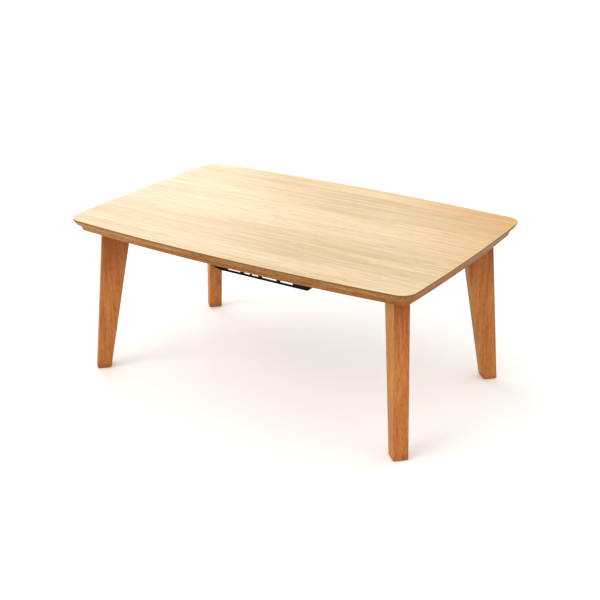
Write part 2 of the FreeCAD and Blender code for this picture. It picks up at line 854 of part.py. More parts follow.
def make_tube(name, side):
    body = new_body(name)
    ring = new_sketch(body, "YZ", "tube_start")
    spot = [("%d * tube_spacing / 2" % side, "tube_height")]
    add_circles(ring, spot, "tube_radius")
    add_circles(ring, spot, "tube_radius - tube_wall")
    pad(body, ring, "tube_end - tube_start")


def make_filament(name, side):
    """A flat glowing strip with a round lead at each end."""
    body = new_body(name)
    y = "%d * tube_spacing / 2" % side
    strip = new_sketch(body, "YZ", "tube_start")
    half_y, half_z = "filament_width / 2", "filament_thickness / 2"
    low, high = "tube_height - " + half_z, "tube_height + " + half_z
    add_rectangle(strip, y + " - " + half_y, y + " + " + half_y, low, high)
    pad(body, strip, "tube_end - tube_start")
    leads = new_sketch(body, "YZ", "cap_start - lead_reach")
    add_circles(leads, [(y, "tube_height")], "lead_radius")
    pad(body, leads, "cap_end - cap_start + 2 * lead_reach")


def make_tube_caps():
    """Ceramic ends: each grips the end of a tube and lets the lead out."""
    body = new_body("tube_end_caps")
    ends = (("cap_start", "tube_start", True), ("cap_end - cap_length", "tube_end", False))
    for start, mouth, upwards in ends:
        blank = new_sketch(body, "YZ", start)
        add_circles(blank, tube_places(), "cap_radius")
        pad(body, blank, "cap_length")
        lead = new_sketch(body, "YZ", start + " - overrun")
        add_circles(lead, tube_places(), "lead_radius + cap_clearance")
        pocket(body, lead, "cap_length + 2 * overrun", upwards=True)
        grip = new_sketch(body, "YZ", mouth)
        add_circles(grip, tube_places(), "tube_radius + cap_clearance")
        pocket(body, grip, "cap_grip + overrun", upwards=upwards)


def make_tube_bracket(name, x):
    """A hanging plate with a hole for each ceramic end."""
    body = new_body(name)
    plate = new_sketch(body, "YZ", x)
    half = "bracket_width / 2"
    add_rectangle(plate, "-1 * " + half, half, "tube_height - bracket_tail", "reflector_face")
    pad(body, plate, "bracket_thickness", both_ways=True)
    holes = new_sketch(body, "YZ", x)
    add_circles(holes, tube_places(), "cap_radius + cap_clearance")
    pocket(body, holes, "bracket_thickness + overrun", both_ways=True)


def guard_screw_places():
    places = []
    for end in (-1, 1):
        for side in (-1, 1):
            places.append(("%d * guard_screw_x" % end, "%d * guard_screw_y" % side))
    return places


def window_spans(first, last, start, pitch):
    """Gaps between upright posts: the posts stand at a pitch, one of them at the start."""
    low, high = value(first), value(last)
    posts = []
    steps = range(int((low - value(start)) / value(pitch)), int((high - value(start)) / value(pitch)) + 1)
    for step in steps:
        centre = "(%s) + %d * %s" % (start, step, pitch)
        if low + value("post_width") < value(centre) < high - value("post_width"):
            posts.append(centre)
    left = [first] + [post + " + post_width / 2" for post in posts]
    right = [post + " - post_width / 2" for post in posts] + [last]
    return list(zip(left, right))


def guard_side_windows():
    """Windows between the posts, one of them parted by the slim post."""
    windows = []
    first, last = "guard_corner - basket_end", "guard_end - guard_band"
    for low, high in window_spans(first, last, "post_start", "post_pitch"):
        if value(low) < value("-1 * slim_post_offset") < value(high):
            windows.append((low, "-1 * slim_post_offset - slim_post_width / 2"))
            low = "-1 * slim_post_offset + slim_post_width / 2"
        windows.append((low, high))
    return windows


def guard_end_windows():
    half = "(basket_depth / 2 - guard_wall - guard_band)"
    return window_spans("-1 * " + half, half, "0", "post_pitch")


def make_guard_side(name, side):
    """One long wall of the open basket: posts with wide gaps, and a lip turned in at the top."""
    body = new_body(name)
    wall = new_sketch(body, "XZ", "%d * (basket_depth - guard_wall) / 2" % side)
    points = [
        ("guard_end", "heater_bottom"),
        ("guard_end", "flange_bottom"),
        ("-1 * basket_end", "flange_bottom"),
        ("-1 * basket_end", "heater_bottom + guard_slope_rise"),
        ("guard_slope_end", "heater_bottom"),
    ]
    add_polygon(wall, points)
    pad(body, wall, "guard_wall", both_ways=True)
    lip = new_sketch(body, "XY", "rim_bottom")
    near, far = "%d * (heater_size / 2 - rim_width)" % side, "%d * heater_size / 2" % side
    add_rectangle(lip, "-1 * heater_size / 2", "guard_end", near, far)
    pad(body, lip, "rim_thickness")
    windows = new_sketch(body, "XZ", "%d * (basket_depth - guard_wall) / 2" % side)
    for low, high in guard_side_windows():
        add_rectangle(windows, low, high, "window_floor", "window_ceiling")
    pocket(body, windows, "guard_wall + 2 * overrun", both_ways=True)
    screws = new_sketch(body, "XY", "rim_bottom - overrun")
    places = [spot for spot in guard_screw_places() if value(spot[1]) * side > 0]
    add_circles(screws, places, "screw_radius + screw_clearance")
    pocket(body, screws, "rim_thickness + 2 * overrun", upwards=True)


def make_guard_end():
    """The basket's left wall, which slopes in to the floor, with posts and a lip turned out at the top."""
    body = new_body("guard_end")
    # The slope's inner face is drawn in by the wall, measured square to the slope.
    slant = "guard_wall * (guard_slope_length - guard_slope_rise) / guard_slope_run"
    profile = new_sketch(body, "XZ", "0")
    points = [
        ("-1 * basket_end", "heater_bottom + guard_slope_rise"),
        ("guard_slope_end", "heater_bottom"),
        ("guard_floor_start", "heater_bottom"),
        ("guard_floor_start", "heater_bottom + guard_wall"),
        ("guard_wall - basket_end", "heater_bottom + guard_slope_rise + " + slant),
        ("guard_wall - basket_end", "flange_bottom"),
        ("-1 * basket_end", "flange_bottom"),
    ]
    add_polygon(profile, points)
    pad(body, profile, "basket_depth - 2 * guard_wall", both_ways=True)
    notch = new_sketch(body, "XY", "flange_bottom + overrun")
    for side in (-1, 1):
        near = "%d * (heater_size / 2 - rim_width)" % side
        far = "%d * heater_size / 2" % side
        add_rectangle(notch, "-1 * heater_size / 2", "0", near, far)
    pocket(body, notch, "rim_thickness + overrun")
    lip = new_sketch(body, "XY", "rim_bottom")
    half = "(heater_size / 2 - rim_width)"
    add_rectangle(lip, "-1 * heater_size / 2", "guard_wall - basket_end", "-1 * " + half, half)
    pad(body, lip, "rim_thickness")
    windows = new_sketch(body, "YZ", "guard_wall - basket_end")
    sill = "heater_bottom + guard_slope_rise + guard_band"
    for low, high in guard_end_windows():
        add_rectangle(windows, low, high, sill, "window_ceiling")
    pocket(body, windows, "2 * (guard_wall + overrun)", both_ways=True)
    screws = new_sketch(body, "XY", "rim_bottom - overrun")
    places = [spot for spot in heater_screw_places() if value(spot[0]) < 0]
    add_circles(screws, places, "screw_radius + screw_clearance")
    pocket(body, screws, "rim_thickness + 2 * overrun", upwards=True)


def make_guard_floor():
    """The basket's floor: one long opening by each long edge and narrow slots between them."""
    body = new_body("guard_floor")
    half_depth = "(basket_depth / 2 - guard_wall)"
    plate = new_sketch(body, "XY", "heater_bottom")
    add_rectangle(plate, "guard_floor_start", "guard_end", "-1 * " + half_depth, half_depth)
    pad(body, plate, "guard_wall")
    edge = new_sketch(body, "XY", "heater_bottom - overrun")
    outer = "(%s - guard_band / 2)" % half_depth
    inner = "(%s - ring_window)" % outer
    start, stop = "guard_slope_end + guard_band", "guard_end - guard_band"
    add_rectangle(edge, start, stop, "-1 * " + outer, "-1 * " + inner)
    add_rectangle(edge, start, stop, inner, outer)
    pocket(body, edge, "guard_wall + 2 * overrun", upwards=True)
    half = "(%s - slot_cross_bar)" % inner
    reach = "((2 * %s - (slot_rows - 1) * slot_cross_bar) / slot_rows)" % half
    slots = new_sketch(body, "XY", "heater_bottom - overrun")
    for step in range(SIZES["slot_rows"]):
        low = "-1 * %s + %d * (%s + slot_cross_bar)" % (half, step, reach)
        add_rectangle(slots, start, start + " + slot_width", low, "%s + %s" % (low, reach))
    pocket(body, slots, "guard_wall + 2 * overrun", upwards=True)
    first_row = body.Tip
    room = value(stop) - value(start) - value("slot_width")
    copies = 1 + int(room / value("slot_width + slot_bar"))
    rows = body.newObject("PartDesign::LinearPattern", "guard_slots")
    rows.Originals = [first_row]
    rows.Direction = (slots, ["H_Axis"])
    rows.Occurrences = copies
    rows.setExpression("Length", sized("(slot_width + slot_bar) * %d" % (copies - 1)))
    body.Tip = rows
    doc.recompute()


def make_control_box():
    """The closed end of the heater, which holds the terminals and the power inlet."""
    body = new_body("control_box")
    profile = new_sketch(body, "XZ", "0")
    points = [
        ("control_start", "heater_bottom"),
        ("basket_end - control_chamfer", "heater_bottom"),
        ("basket_end", "heater_bottom + control_chamfer"),
        ("basket_end", "flange_bottom"),
        ("control_start", "flange_bottom"),
    ]
    add_polygon(profile, points)
    pad(body, profile, "basket_depth", both_ways=True)
    rim = new_sketch(body, "XY", "rim_bottom")
    add_rectangle(rim, "control_start", "heater_size / 2", "-1 * heater_size / 2", "heater_size / 2")
    pad(body, rim, "rim_thickness")
    hollow = new_sketch(body, "XZ", "0")
    slant = "control_wall * (sqrt(2) - 1)"
    points = [
        ("control_start + control_wall", "floor_inside"),
        ("basket_end - control_chamfer - " + slant, "floor_inside"),
        ("basket_end - control_wall", "heater_bottom + control_chamfer + " + slant),
        ("basket_end - control_wall", "flange_bottom + overrun"),
        ("control_start + control_wall", "flange_bottom + overrun"),
    ]
    add_polygon(hollow, points)
    pocket(body, hollow, "basket_depth - 2 * control_wall", both_ways=True)
    mouth = new_sketch(body, "YZ", "basket_end")
    half_y = "(inlet_width / 2 + inlet_clearance)"
    half_z = "(inlet_height / 2 + inlet_clearance)"
    add_rectangle(mouth, "-1 * " + half_y, half_y, "inlet_middle - " + half_z, "inlet_middle + " + half_z)
    pocket(body, mouth, "2 * (control_wall + overrun)", both_ways=True)
    slots = new_sketch(body, "YZ", "control_start")
    for y, z in tube_places():
        half = "(strap_width / 2 + strap_slot_margin)"
        low = z + " - strap_slot_margin"
        high = z + " + lead_radius + strap_thickness + strap_slot_margin"
        add_rectangle(slots, y + " - " + half, y + " + " + half, low, high)
    pocket(body, slots, "2 * (control_wall + overrun)", both_ways=True)
    screws = new_sketch(body, "XY", "rim_bottom - overrun")
    places = [spot for spot in heater_screw_places() if value(spot[0]) > 0]
    add_circles(screws, places, "screw_radius + screw_clearance")
    pocket(body, screws, "rim_thickness + 2 * overrun", upwards=True)


def make_terminal_block():
    """A ceramic-filled block on the control box's floor, with two screw terminals."""
    body = new_body("terminal_block")
    plan = new_sketch(body, "XY", "floor_inside")
    half = "terminal_width / 2"
    add_rectangle(plan, "terminal_start", "terminal_start + terminal_depth", "-1 * " + half, half)
    pad(body, plan, "terminal_height")
    steps = new_sketch(body, "XY", "floor_inside + terminal_height")
    narrow = "terminal_step_width / 2"
    add_rectangle(steps, "terminal_start - overrun", "terminal_start + terminal_depth + overrun",
                  "-1 * " + narrow, narrow)
    pocket(body, steps, "terminal_step_depth")


def make_straps():
    """Brass straps: one links the tubes, two feed them from the terminals."""
    link = new_body("link_strap")
    plan = new_sketch(link, "XY", "strap_height")
    near, half = "cap_start - lead_reach", "(tube_spacing / 2 + strap_width / 2)"
    add_rectangle(plan, near, near + " + strap_width", "-1 * " + half, half)
    pad(link, plan, "strap_thickness")
    feeds = new_body("feed_straps")
    plan = new_sketch(feeds, "XY", "strap_height")
    for y, z in tube_places():
        add_rectangle(plan, "cap_end + strap_thickness", "terminal_start",
                      y + " - strap_width / 2", y + " + strap_width / 2")
    pad(feeds, plan, "strap_thickness")


def make_thermostat():
    """A snap disc in a round case, fixed to the reflector between the tubes."""
    body = new_body("thermostat")
    case = new_sketch(body, "XY", "reflector_face")
    add_circles(case, [("thermostat_x", "0")], "thermostat_radius")
    pad(body, case, "thermostat_height", backwards=True)
    nose = new_sketch(body, "XY", "reflector_face - thermostat_height")
    add_circles(nose, [("thermostat_x", "0")], "thermostat_nose_radius")
    pad(body, nose, "thermostat_nose_height", backwards=True)


def make_thermal_fuse():
    body = new_body("thermal_fuse")
    case = new_sketch(body, "YZ", "fuse_x")
    add_circles(case, [("0", "reflector_face - fuse_radius")], "fuse_radius")
    pad(body, case, "fuse_length", both_ways=True)
    ends = new_sketch(body, "YZ", "fuse_x")
    add_circles(ends, [("0", "reflector_face - fuse_radius")], "fuse_lead_radius")
    pad(body, ends, "fuse_length + 2 * fuse_lead_length", both_ways=True)


def make_inlet():
    """The power socket in the control box's end: a block with a lip, a recess and pins."""
    body = new_body("power_inlet")
    block = new_sketch(body, "YZ", "inlet_back")
    half_y, half_z = "inlet_width / 2", "inlet_height / 2"
    add_rectangle(block, "-1 * " + half_y, half_y, "inlet_middle - " + half_z, "inlet_middle + " + half_z)
    pad(body, block, "inlet_front - inlet_back")
    lip = new_sketch(body, "YZ", "basket_end")
    half_y, half_z = "(inlet_width / 2 + inlet_lip)", "(inlet_height / 2 + inlet_lip)"
    add_rectangle(lip, "-1 * " + half_y, half_y, "inlet_middle - " + half_z, "inlet_middle + " + half_z)
    pad(body, lip, "inlet_lip_thickness")
    recess = new_sketch(body, "YZ", "inlet_front")
    half_y, half_z = "socket_width / 2", "socket_height / 2"
    add_rectangle(recess, "-1 * " + half_y, half_y, "inlet_middle - " + half_z, "inlet_middle + " + half_z)
    pocket(body, recess, "socket_depth")
    holes = new_sketch(body, "YZ", "inlet_back - overrun")
    add_circles(holes, inlet_pin_places(), "pin_radius + screw_clearance")
    pocket(body, holes, "inlet_front - inlet_back + overrun", upwards=True)


def inlet_pin_places():
    return [("%d * pin_spacing" % step, "inlet_middle") for step in (-1, 0, 1)]


def make_inlet_pins():
    body = new_body("inlet_pins")
    pins = new_sketch(body, "YZ", "inlet_back - pin_tail")
    add_circles(pins, inlet_pin_places(), "pin_radius")
    pad(body, pins, "socket_back + pin_length - inlet_back + pin_tail")


def screw_group(name, places, tip_level, seat):
    """Round-headed screws driven up from below."""
    body = new_body(name)
    heads = new_sketch(body, "XY", "%s - screw_head_height" % seat)
    add_circles(heads, places, "screw_head_radius")
    pad(body, heads, "screw_head_height")
    shanks = new_sketch(body, "XY", seat)
    add_circles(shanks, places, "screw_radius")
    pad(body, shanks, "%s - (%s)" % (tip_level, seat))
    driver = new_sketch(body, "XY", "%s - screw_head_height" % seat)
    for x, y in places:
        long_half, thin_half = "screw_slot_length / 2", "screw_slot_width / 2"
        add_rectangle(driver, "%s - %s" % (x, long_half), "%s + %s" % (x, long_half),
                      "%s - %s" % (y, thin_half), "%s + %s" % (y, thin_half))
    pocket(body, driver, "screw_slot_depth", upwards=True)


def make_heater_screws():
    places = heater_screw_places() + guard_screw_places()
    screw_group("heater_screws", places, "underside_height + screw_length", "rim_bottom")


def make_table():
    make_top_board()
    make_top_veneer()
    make_top_backing()
    make_top_pads()
    for name, side in (("rail_front", -1), ("rail_back", 1)):
        make_long_rail(name, side)
    for name, end in (("rail_left", -1), ("rail_right", 1)):
        make_short_rail(name, end)
    for corner, (end, side) in CORNERS.items():
        make_corner_block("corner_block_" + corner, end, side)
    for name, end in (("cross_rail_left", -1), ("cross_rail_right", 1)):
        make_cross_rail(name, end)
    for name, side in (("stretcher_front", -1), ("stretcher_back", 1)):
        make_stretcher(name, side)
    make_frame_dowels()
    for corner, (end, side) in CORNERS.items():
        make_leg("leg_" + corner, end, side)
        make_foot_glide("foot_glide_" + corner, end, side)
    make_leg_fastenings()


def make_heater():
    make_heater_pan()
    make_insulation()
    make_reflector()
    for name, side in (("front", -1), ("back", 1)):
        make_tube("heating_tube_" + name, side)
        make_filament("filament_" + name, side)
    make_tube_caps()
    make_tube_bracket("tube_bracket_left", "tube_start - cap_grip / 2")
    make_tube_bracket("tube_bracket_right", "tube_end + cap_grip / 2")
    for name, side in (("guard_front", -1), ("guard_back", 1)):
        make_guard_side(name, side)
    make_guard_end()
    make_guard_floor()
    make_control_box()
    make_terminal_block()
    make_straps()
    make_thermostat()
    make_thermal_fuse()
    make_inlet()
    make_inlet_pins()
    make_heater_screws()


def check_everything():
    for item in doc.Objects:
        if "Invalid" in item.State or "Error" in item.State:
            raise RuntimeError("%s did not build: %s" % (item.Name, item.State))
    for part in parts:
        if part.Shape.isNull() or not part.Shape.isValid() or not part.Shape.Solids:
            raise RuntimeError("%s has no sound shape" % part.Label)


def write_parts():
    os.makedirs("parts", exist_ok=True)
    for part in parts:
        part.Shape.exportStep(os.path.join("parts", part.Label + ".step"))


fill_sheet()
make_table()
make_heater()
doc.recompute()
check_everything()
write_parts()
print(len(parts), "pieces written")
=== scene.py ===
"""Dresses the low heated table: its woods and lacquers, felt and rubber pads, heater and stage."""

import math

import bpy
import numpy as np
from bpy.props import FloatProperty, FloatVectorProperty, IntProperty, PointerProperty
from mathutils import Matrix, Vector


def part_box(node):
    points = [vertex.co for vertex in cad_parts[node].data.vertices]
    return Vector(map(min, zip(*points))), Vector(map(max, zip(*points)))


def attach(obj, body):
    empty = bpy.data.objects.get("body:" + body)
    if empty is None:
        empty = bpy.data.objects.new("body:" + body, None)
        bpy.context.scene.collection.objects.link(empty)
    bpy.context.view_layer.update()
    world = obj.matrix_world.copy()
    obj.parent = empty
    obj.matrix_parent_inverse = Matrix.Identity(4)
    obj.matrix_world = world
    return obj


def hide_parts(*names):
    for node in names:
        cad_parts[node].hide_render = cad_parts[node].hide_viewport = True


bl_info = {
    "name": "Low heated table",
    "version": (1, 0, 0),
    "blender": (4, 5, 0),
    "location": "View3D > Sidebar > Low table",
    "description": "Finishes a low heated table and sets it on a pale stage",
    "category": "Object",
}

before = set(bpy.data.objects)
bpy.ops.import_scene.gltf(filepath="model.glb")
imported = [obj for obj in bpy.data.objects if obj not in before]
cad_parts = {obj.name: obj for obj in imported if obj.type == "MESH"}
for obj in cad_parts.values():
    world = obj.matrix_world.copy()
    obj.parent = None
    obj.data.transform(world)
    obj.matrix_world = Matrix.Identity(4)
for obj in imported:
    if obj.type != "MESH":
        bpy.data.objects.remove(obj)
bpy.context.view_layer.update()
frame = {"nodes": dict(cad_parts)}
CORNERS = ("front_left", "front_right", "back_left", "back_right")
MM = 0.001
# Painted shade: how much darker the edge and the rails are made at the right end than at the left, away from
# the light.
PAINTED_SHADE_TO_RIGHT = 0.35
# Share of the way out at which the innermost ring of a pad's flat face lies.
PAD_MIDDLE_SHARE = 0.4


def linear(code):
    """The linear red, green, blue and alpha of an sRGB hex colour."""
    shares = [int(code[start:start + 2], 16) / 255 for start in (1, 3, 5)]
    return tuple(s / 12.92 if s <= 0.04045 else ((s + 0.055) / 1.055) ** 2.4 for s in shares) + (1.0,)


def colour(name, description, code):
    return FloatVectorProperty(name=name, description=description, subtype="COLOR",
                               size=4, min=0, max=1, default=linear(code))


def length(name, description, default):
    return FloatProperty(name=name, description=description, default=default, min=0,
                         subtype="DISTANCE", unit="LENGTH", precision=4)


# Settings

class TopSettings(bpy.types.PropertyGroup):
    pale: colour("Pale grain", "Early wood of the oak veneer", "#ead1a7")
    warm: colour("Warm grain", "Late wood of the oak veneer", "#d1ac79")
    # The heartwood colour is painted shade towards the back right, drawn as browner wood.
    shaded_heart: colour("Heartwood", "Browner wood towards the back right of the oak veneer", "#cd8a22")
    pore: colour("Pores", "Open pores of the oak veneer", "#8f6a3a")
    # The eased edge colour is a painted highlight along the top's rim.
    eased: colour("Eased edge", "Pale wood under the thin lacquer of the eased edge", "#f6dcae")
    edge: colour("Edge", "Stained wood under the veneer, seen on the bevel", "#bb8b57")
    lip: colour("Lip", "Darker stain on the thin upright lip", "#7e5931")
    backing: colour("Backing", "Balancing sheet under the top", "#a5805a")
    leaf_width: length("Leaf width", "Width of one leaf of veneer", 0.12)
    streak_length: length("Streak length", "Length of a grain streak", 0.26)
    streak_width: length("Streak width", "Width of a grain streak", 0.005)


class WoodSettings(bpy.types.PropertyGroup):
    frame: colour("Frame", "Stained wood of the rails and corner blocks", "#b17e4e")
    frame_dark: colour("Frame grain", "Darker grain of the rails and corner blocks", "#825026")
    leg: colour("Legs", "Stained wood of the legs", "#c07d43")
    leg_dark: colour("Leg grain", "Darker grain of the legs", "#95542f")
    # The yellowed leg colour is painted light, on faces that look to the front left.
    leg_painted_light: colour("Yellowed legs", "Faces of the legs that daylight has yellowed", "#bd8843")
    inner: colour("Inner rails", "Plain wood of the rails that carry the heater", "#cda97c")
    streak_length: length("Streak length", "Length of a grain streak", 0.09)
    streak_width: length("Streak width", "Width of a grain streak", 0.006)
    pore_length: length("Pore length", "Length of an open pore, drawn coarse enough to show", 0.012)
    pore_width: length("Pore width", "Width of an open pore, drawn coarse enough to show", 0.002)


class PadSettings(bpy.types.PropertyGroup):
    felt: colour("Felt", "Pressed wool felt under the feet", "#5a4030")
    rubber: colour("Rubber", "Anti-slip rubber under the top", "#26262a")
    felt_corner: length("Felt corner", "Corner radius of a felt pad", 0.003)
    felt_ease: length("Felt ease", "How far a felt pad's edge is rounded", 0.0007)
    rib_depth: length("Rib depth", "Depth of the grooves in a rubber pad", 0.0004)
    ribs: IntProperty(name="Ribs", description="Grooves from the middle of a rubber pad to its rim",
                      default=4, min=1, max=12)


class HeaterSettings(bpy.types.PropertyGroup):
    enamel: colour("Enamel", "Baked enamel of the guard", "#040404")
    plastic: colour("Plastic", "Moulded end of the heater", "#050506")
    pan: colour("Pan", "Coated steel of the pan", "#3a3c3e")
    quartz: colour("Quartz", "Milky quartz of the tubes", "#f1ece4")
    carbon: colour("Carbon", "Woven carbon strip in the tubes", "#1c1c1f")
    ceramic: colour("Ceramic", "Steatite ends of the tubes", "#ece6d8")
    fibre: colour("Fibre", "Ceramic fibre blanket over the reflector", "#ddd8cb")
    twist: FloatProperty(name="Twist", description="Turns of a carbon strip inside its tube",
                         default=2.0, min=0, max=20)


class StageSettings(bpy.types.PropertyGroup):
    floor: colour("Floor", "Plain pale floor", "#fbfaf8")
    glow: FloatProperty(name="Glow", description="Light that the floor passes up from below",
                        default=0.12, min=0)
    azimuth: FloatProperty(name="Azimuth", description="Camera's turn round the table",
                           default=math.radians(32.894), subtype="ANGLE")
    elevation: FloatProperty(name="Elevation", description="Camera's tilt above the floor",
                             default=math.radians(22.311), subtype="ANGLE")
    camera: FloatVectorProperty(name="Camera", description="Where the camera stands", size=3,
                                default=(1.35935, -2.11058, 1.2322), subtype="TRANSLATION",
                                unit="LENGTH")
    lens: FloatProperty(name="Lens", description="Focal length on a 36 mm sensor", default=68.688,
                        min=1, unit="CAMERA")
    shift: FloatVectorProperty(name="Shift", description="Shift of the frame, as shares of its width",
                               size=2, default=(0.0133, -0.01))
    key: FloatProperty(name="Key light", description="Irradiance of the broad key light, in watts "
                       "per square metre", default=0.95, min=0)
    key_width: FloatProperty(name="Key width", description="How wide the key light looks from the table",
                             default=math.radians(35), min=0, subtype="ANGLE")
    sheen: FloatProperty(name="Sheen light", description="Power of the light that glances off the top",
                         default=38, min=0, unit="POWER")
    fill: FloatProperty(name="Fill light", description="Power of the light from the front right",
                        default=4, min=0, unit="POWER")
    sky: FloatProperty(name="Sky", description="Strength of the plain surroundings", default=1.0, min=0)


# Node and mesh helpers

def wire(tree, node, values):
    """Sets sockets of a node: a socket given as a value is linked, anything else is its number."""
    for socket, given in values.items():
        if isinstance(given, bpy.types.NodeSocket):
            tree.links.new(given, node.inputs[socket])
        else:
            node.inputs[socket].default_value = given
    return node


def add(tree, kind, values=None, stops=(), **settings):
    """Adds one node with its settings, its sockets' values or links, and a ramp's stops."""
    node = tree.nodes.new(kind)
    for name, setting in settings.items():
        setattr(node, name, setting)
    for index, (spot, shade) in enumerate(stops):
        elements = node.color_ramp.elements
        element = elements[index] if index < 2 else elements.new(spot)
        element.position = spot
        element.color = shade
    return wire(tree, node, values or {})


def start(name):
    """A new material with its shader, and the Object coordinates that its patterns read."""
    made = bpy.data.materials.new(name)
    made.use_nodes = True
    tree = made.node_tree
    tree.nodes.clear()
    shader = add(tree, "ShaderNodeBsdfPrincipled")
    add(tree, "ShaderNodeOutputMaterial", {"Surface": shader.outputs["BSDF"]})
    place = add(tree, "ShaderNodeTexCoord").outputs["Object"]
    return made, tree, shader, place


def repeats(grain, along, across):
    """Cycles per metre along and across the grain, from a streak's length and width in metres."""
    scale = [1 / across] * 3
    scale["XYZ".index(grain)] = 1 / along
    return tuple(scale)


def grey(share):
    return (share, share, share, 1.0)


def coat(names, finish):
    """Gives CAD pieces a material, in the slots that they already have."""
    for name in names:
        for slot in frame["nodes"][name].material_slots:
            slot.material = finish


def skin(name, rings, finish, body, stands_for):
    """One closed surface from rings, an array of rows by columns by 3, as a finished piece.

    Each row is a closed ring. Quads join each ring to the next, and a fan round the mean point
    of the first and of the last ring closes the ends. Faces are turned round if the sum of the
    signed tetrahedra over all triangles is negative, so that they point outwards.
    """
    rows, columns, _ = rings.shape
    points = np.vstack([rings.reshape(-1, 3), rings[0].mean(0), rings[-1].mean(0)])
    column = np.arange(columns)
    following = (column + 1) % columns
    low = np.arange(rows - 1)[:, None] * columns
    quads = np.stack([low + column, low + following, low + columns + following, low + columns + column], -1)
    last = (rows - 1) * columns
    first_fan = np.stack([following, column, np.full(columns, rows * columns)], -1)
    last_fan = np.stack([last + column, last + following, np.full(columns, rows * columns + 1)], -1)
    quads = quads.reshape(-1, 4)
    triangles = np.vstack([quads[:, :3], quads[:, [0, 2, 3]], first_fan, last_fan])
    corners = points[triangles]
    volume = np.einsum("ij,ij->", corners[:, 0], np.cross(corners[:, 1], corners[:, 2]))
    faces = quads.tolist() + first_fan.tolist() + last_fan.tolist()
    if volume < 0:
        faces = [face[::-1] for face in faces]
    mesh = bpy.data.meshes.new(name)
    mesh.from_pydata(points.tolist(), [], faces)
    mesh.shade_smooth()
    mesh.materials.append(finish)
    piece = bpy.data.objects.new(name, mesh)
    bpy.context.scene.collection.objects.link(piece)
    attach(piece, body)
    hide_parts(*stands_for)
    return piece


def outline(half_x, half_y, corner, turn, columns=96):
    """A rounded rectangle about the origin, turned: each point is its corner's centre plus the
    corner radius along the point's own angle."""
    angle = (np.arange(columns) + 0.5) / columns * 2 * math.pi
    x = np.sign(np.cos(angle)) * (half_x - corner) + corner * np.cos(angle)
    y = np.sign(np.sin(angle)) * (half_y - corner) + corner * np.sin(angle)
    return np.stack([x * math.cos(turn) - y * math.sin(turn), x * math.sin(turn) + y * math.cos(turn)], -1)


def pad_rings(centre, edge, profile):
    """Rings of a pad: each row of the profile, a share and a height, sets the edge's points that
    share of the way out from the centre, at that height."""
    share, height = profile[:, 0], profile[:, 1]
    flat = centre + share[:, None, None] * edge[None]
    tall = np.broadcast_to(height[:, None, None], flat.shape[:2] + (1,))
    return np.concatenate([flat, tall], -1)


def eased_profile(low, high, ease, half):
    """From the middle of the underside round both quarter-round edges to the top's rim."""
    turn = np.linspace(0, math.pi / 2, 6)
    lower = np.stack([1 - ease / half * (1 - np.sin(turn)), low + ease * (1 - np.cos(turn))], -1)
    upper = np.stack([1 - ease / half * (1 - np.cos(turn)), high - ease * (1 - np.sin(turn))], -1)
    return np.vstack([[[PAD_MIDDLE_SHARE, low]], lower, upper])


def separate_spots(name, reach):
    """Middles, seen from above, of the separate solids of a CAD piece, which lie further than a
    reach apart: the middle of the box round all points near the first point that is left."""
    mesh = frame["nodes"][name].data
    points = np.empty(len(mesh.vertices) * 3)
    mesh.vertices.foreach_get("co", points)
    points = points.reshape(-1, 3)[:, :2]
    spots = []
    while len(points):
        near = np.linalg.norm(points - points[0], axis=1) < reach
        group = points[near]
        spots.append((group.min(0) + group.max(0)) / 2)
        points = points[~near]
    return spots


# Woods

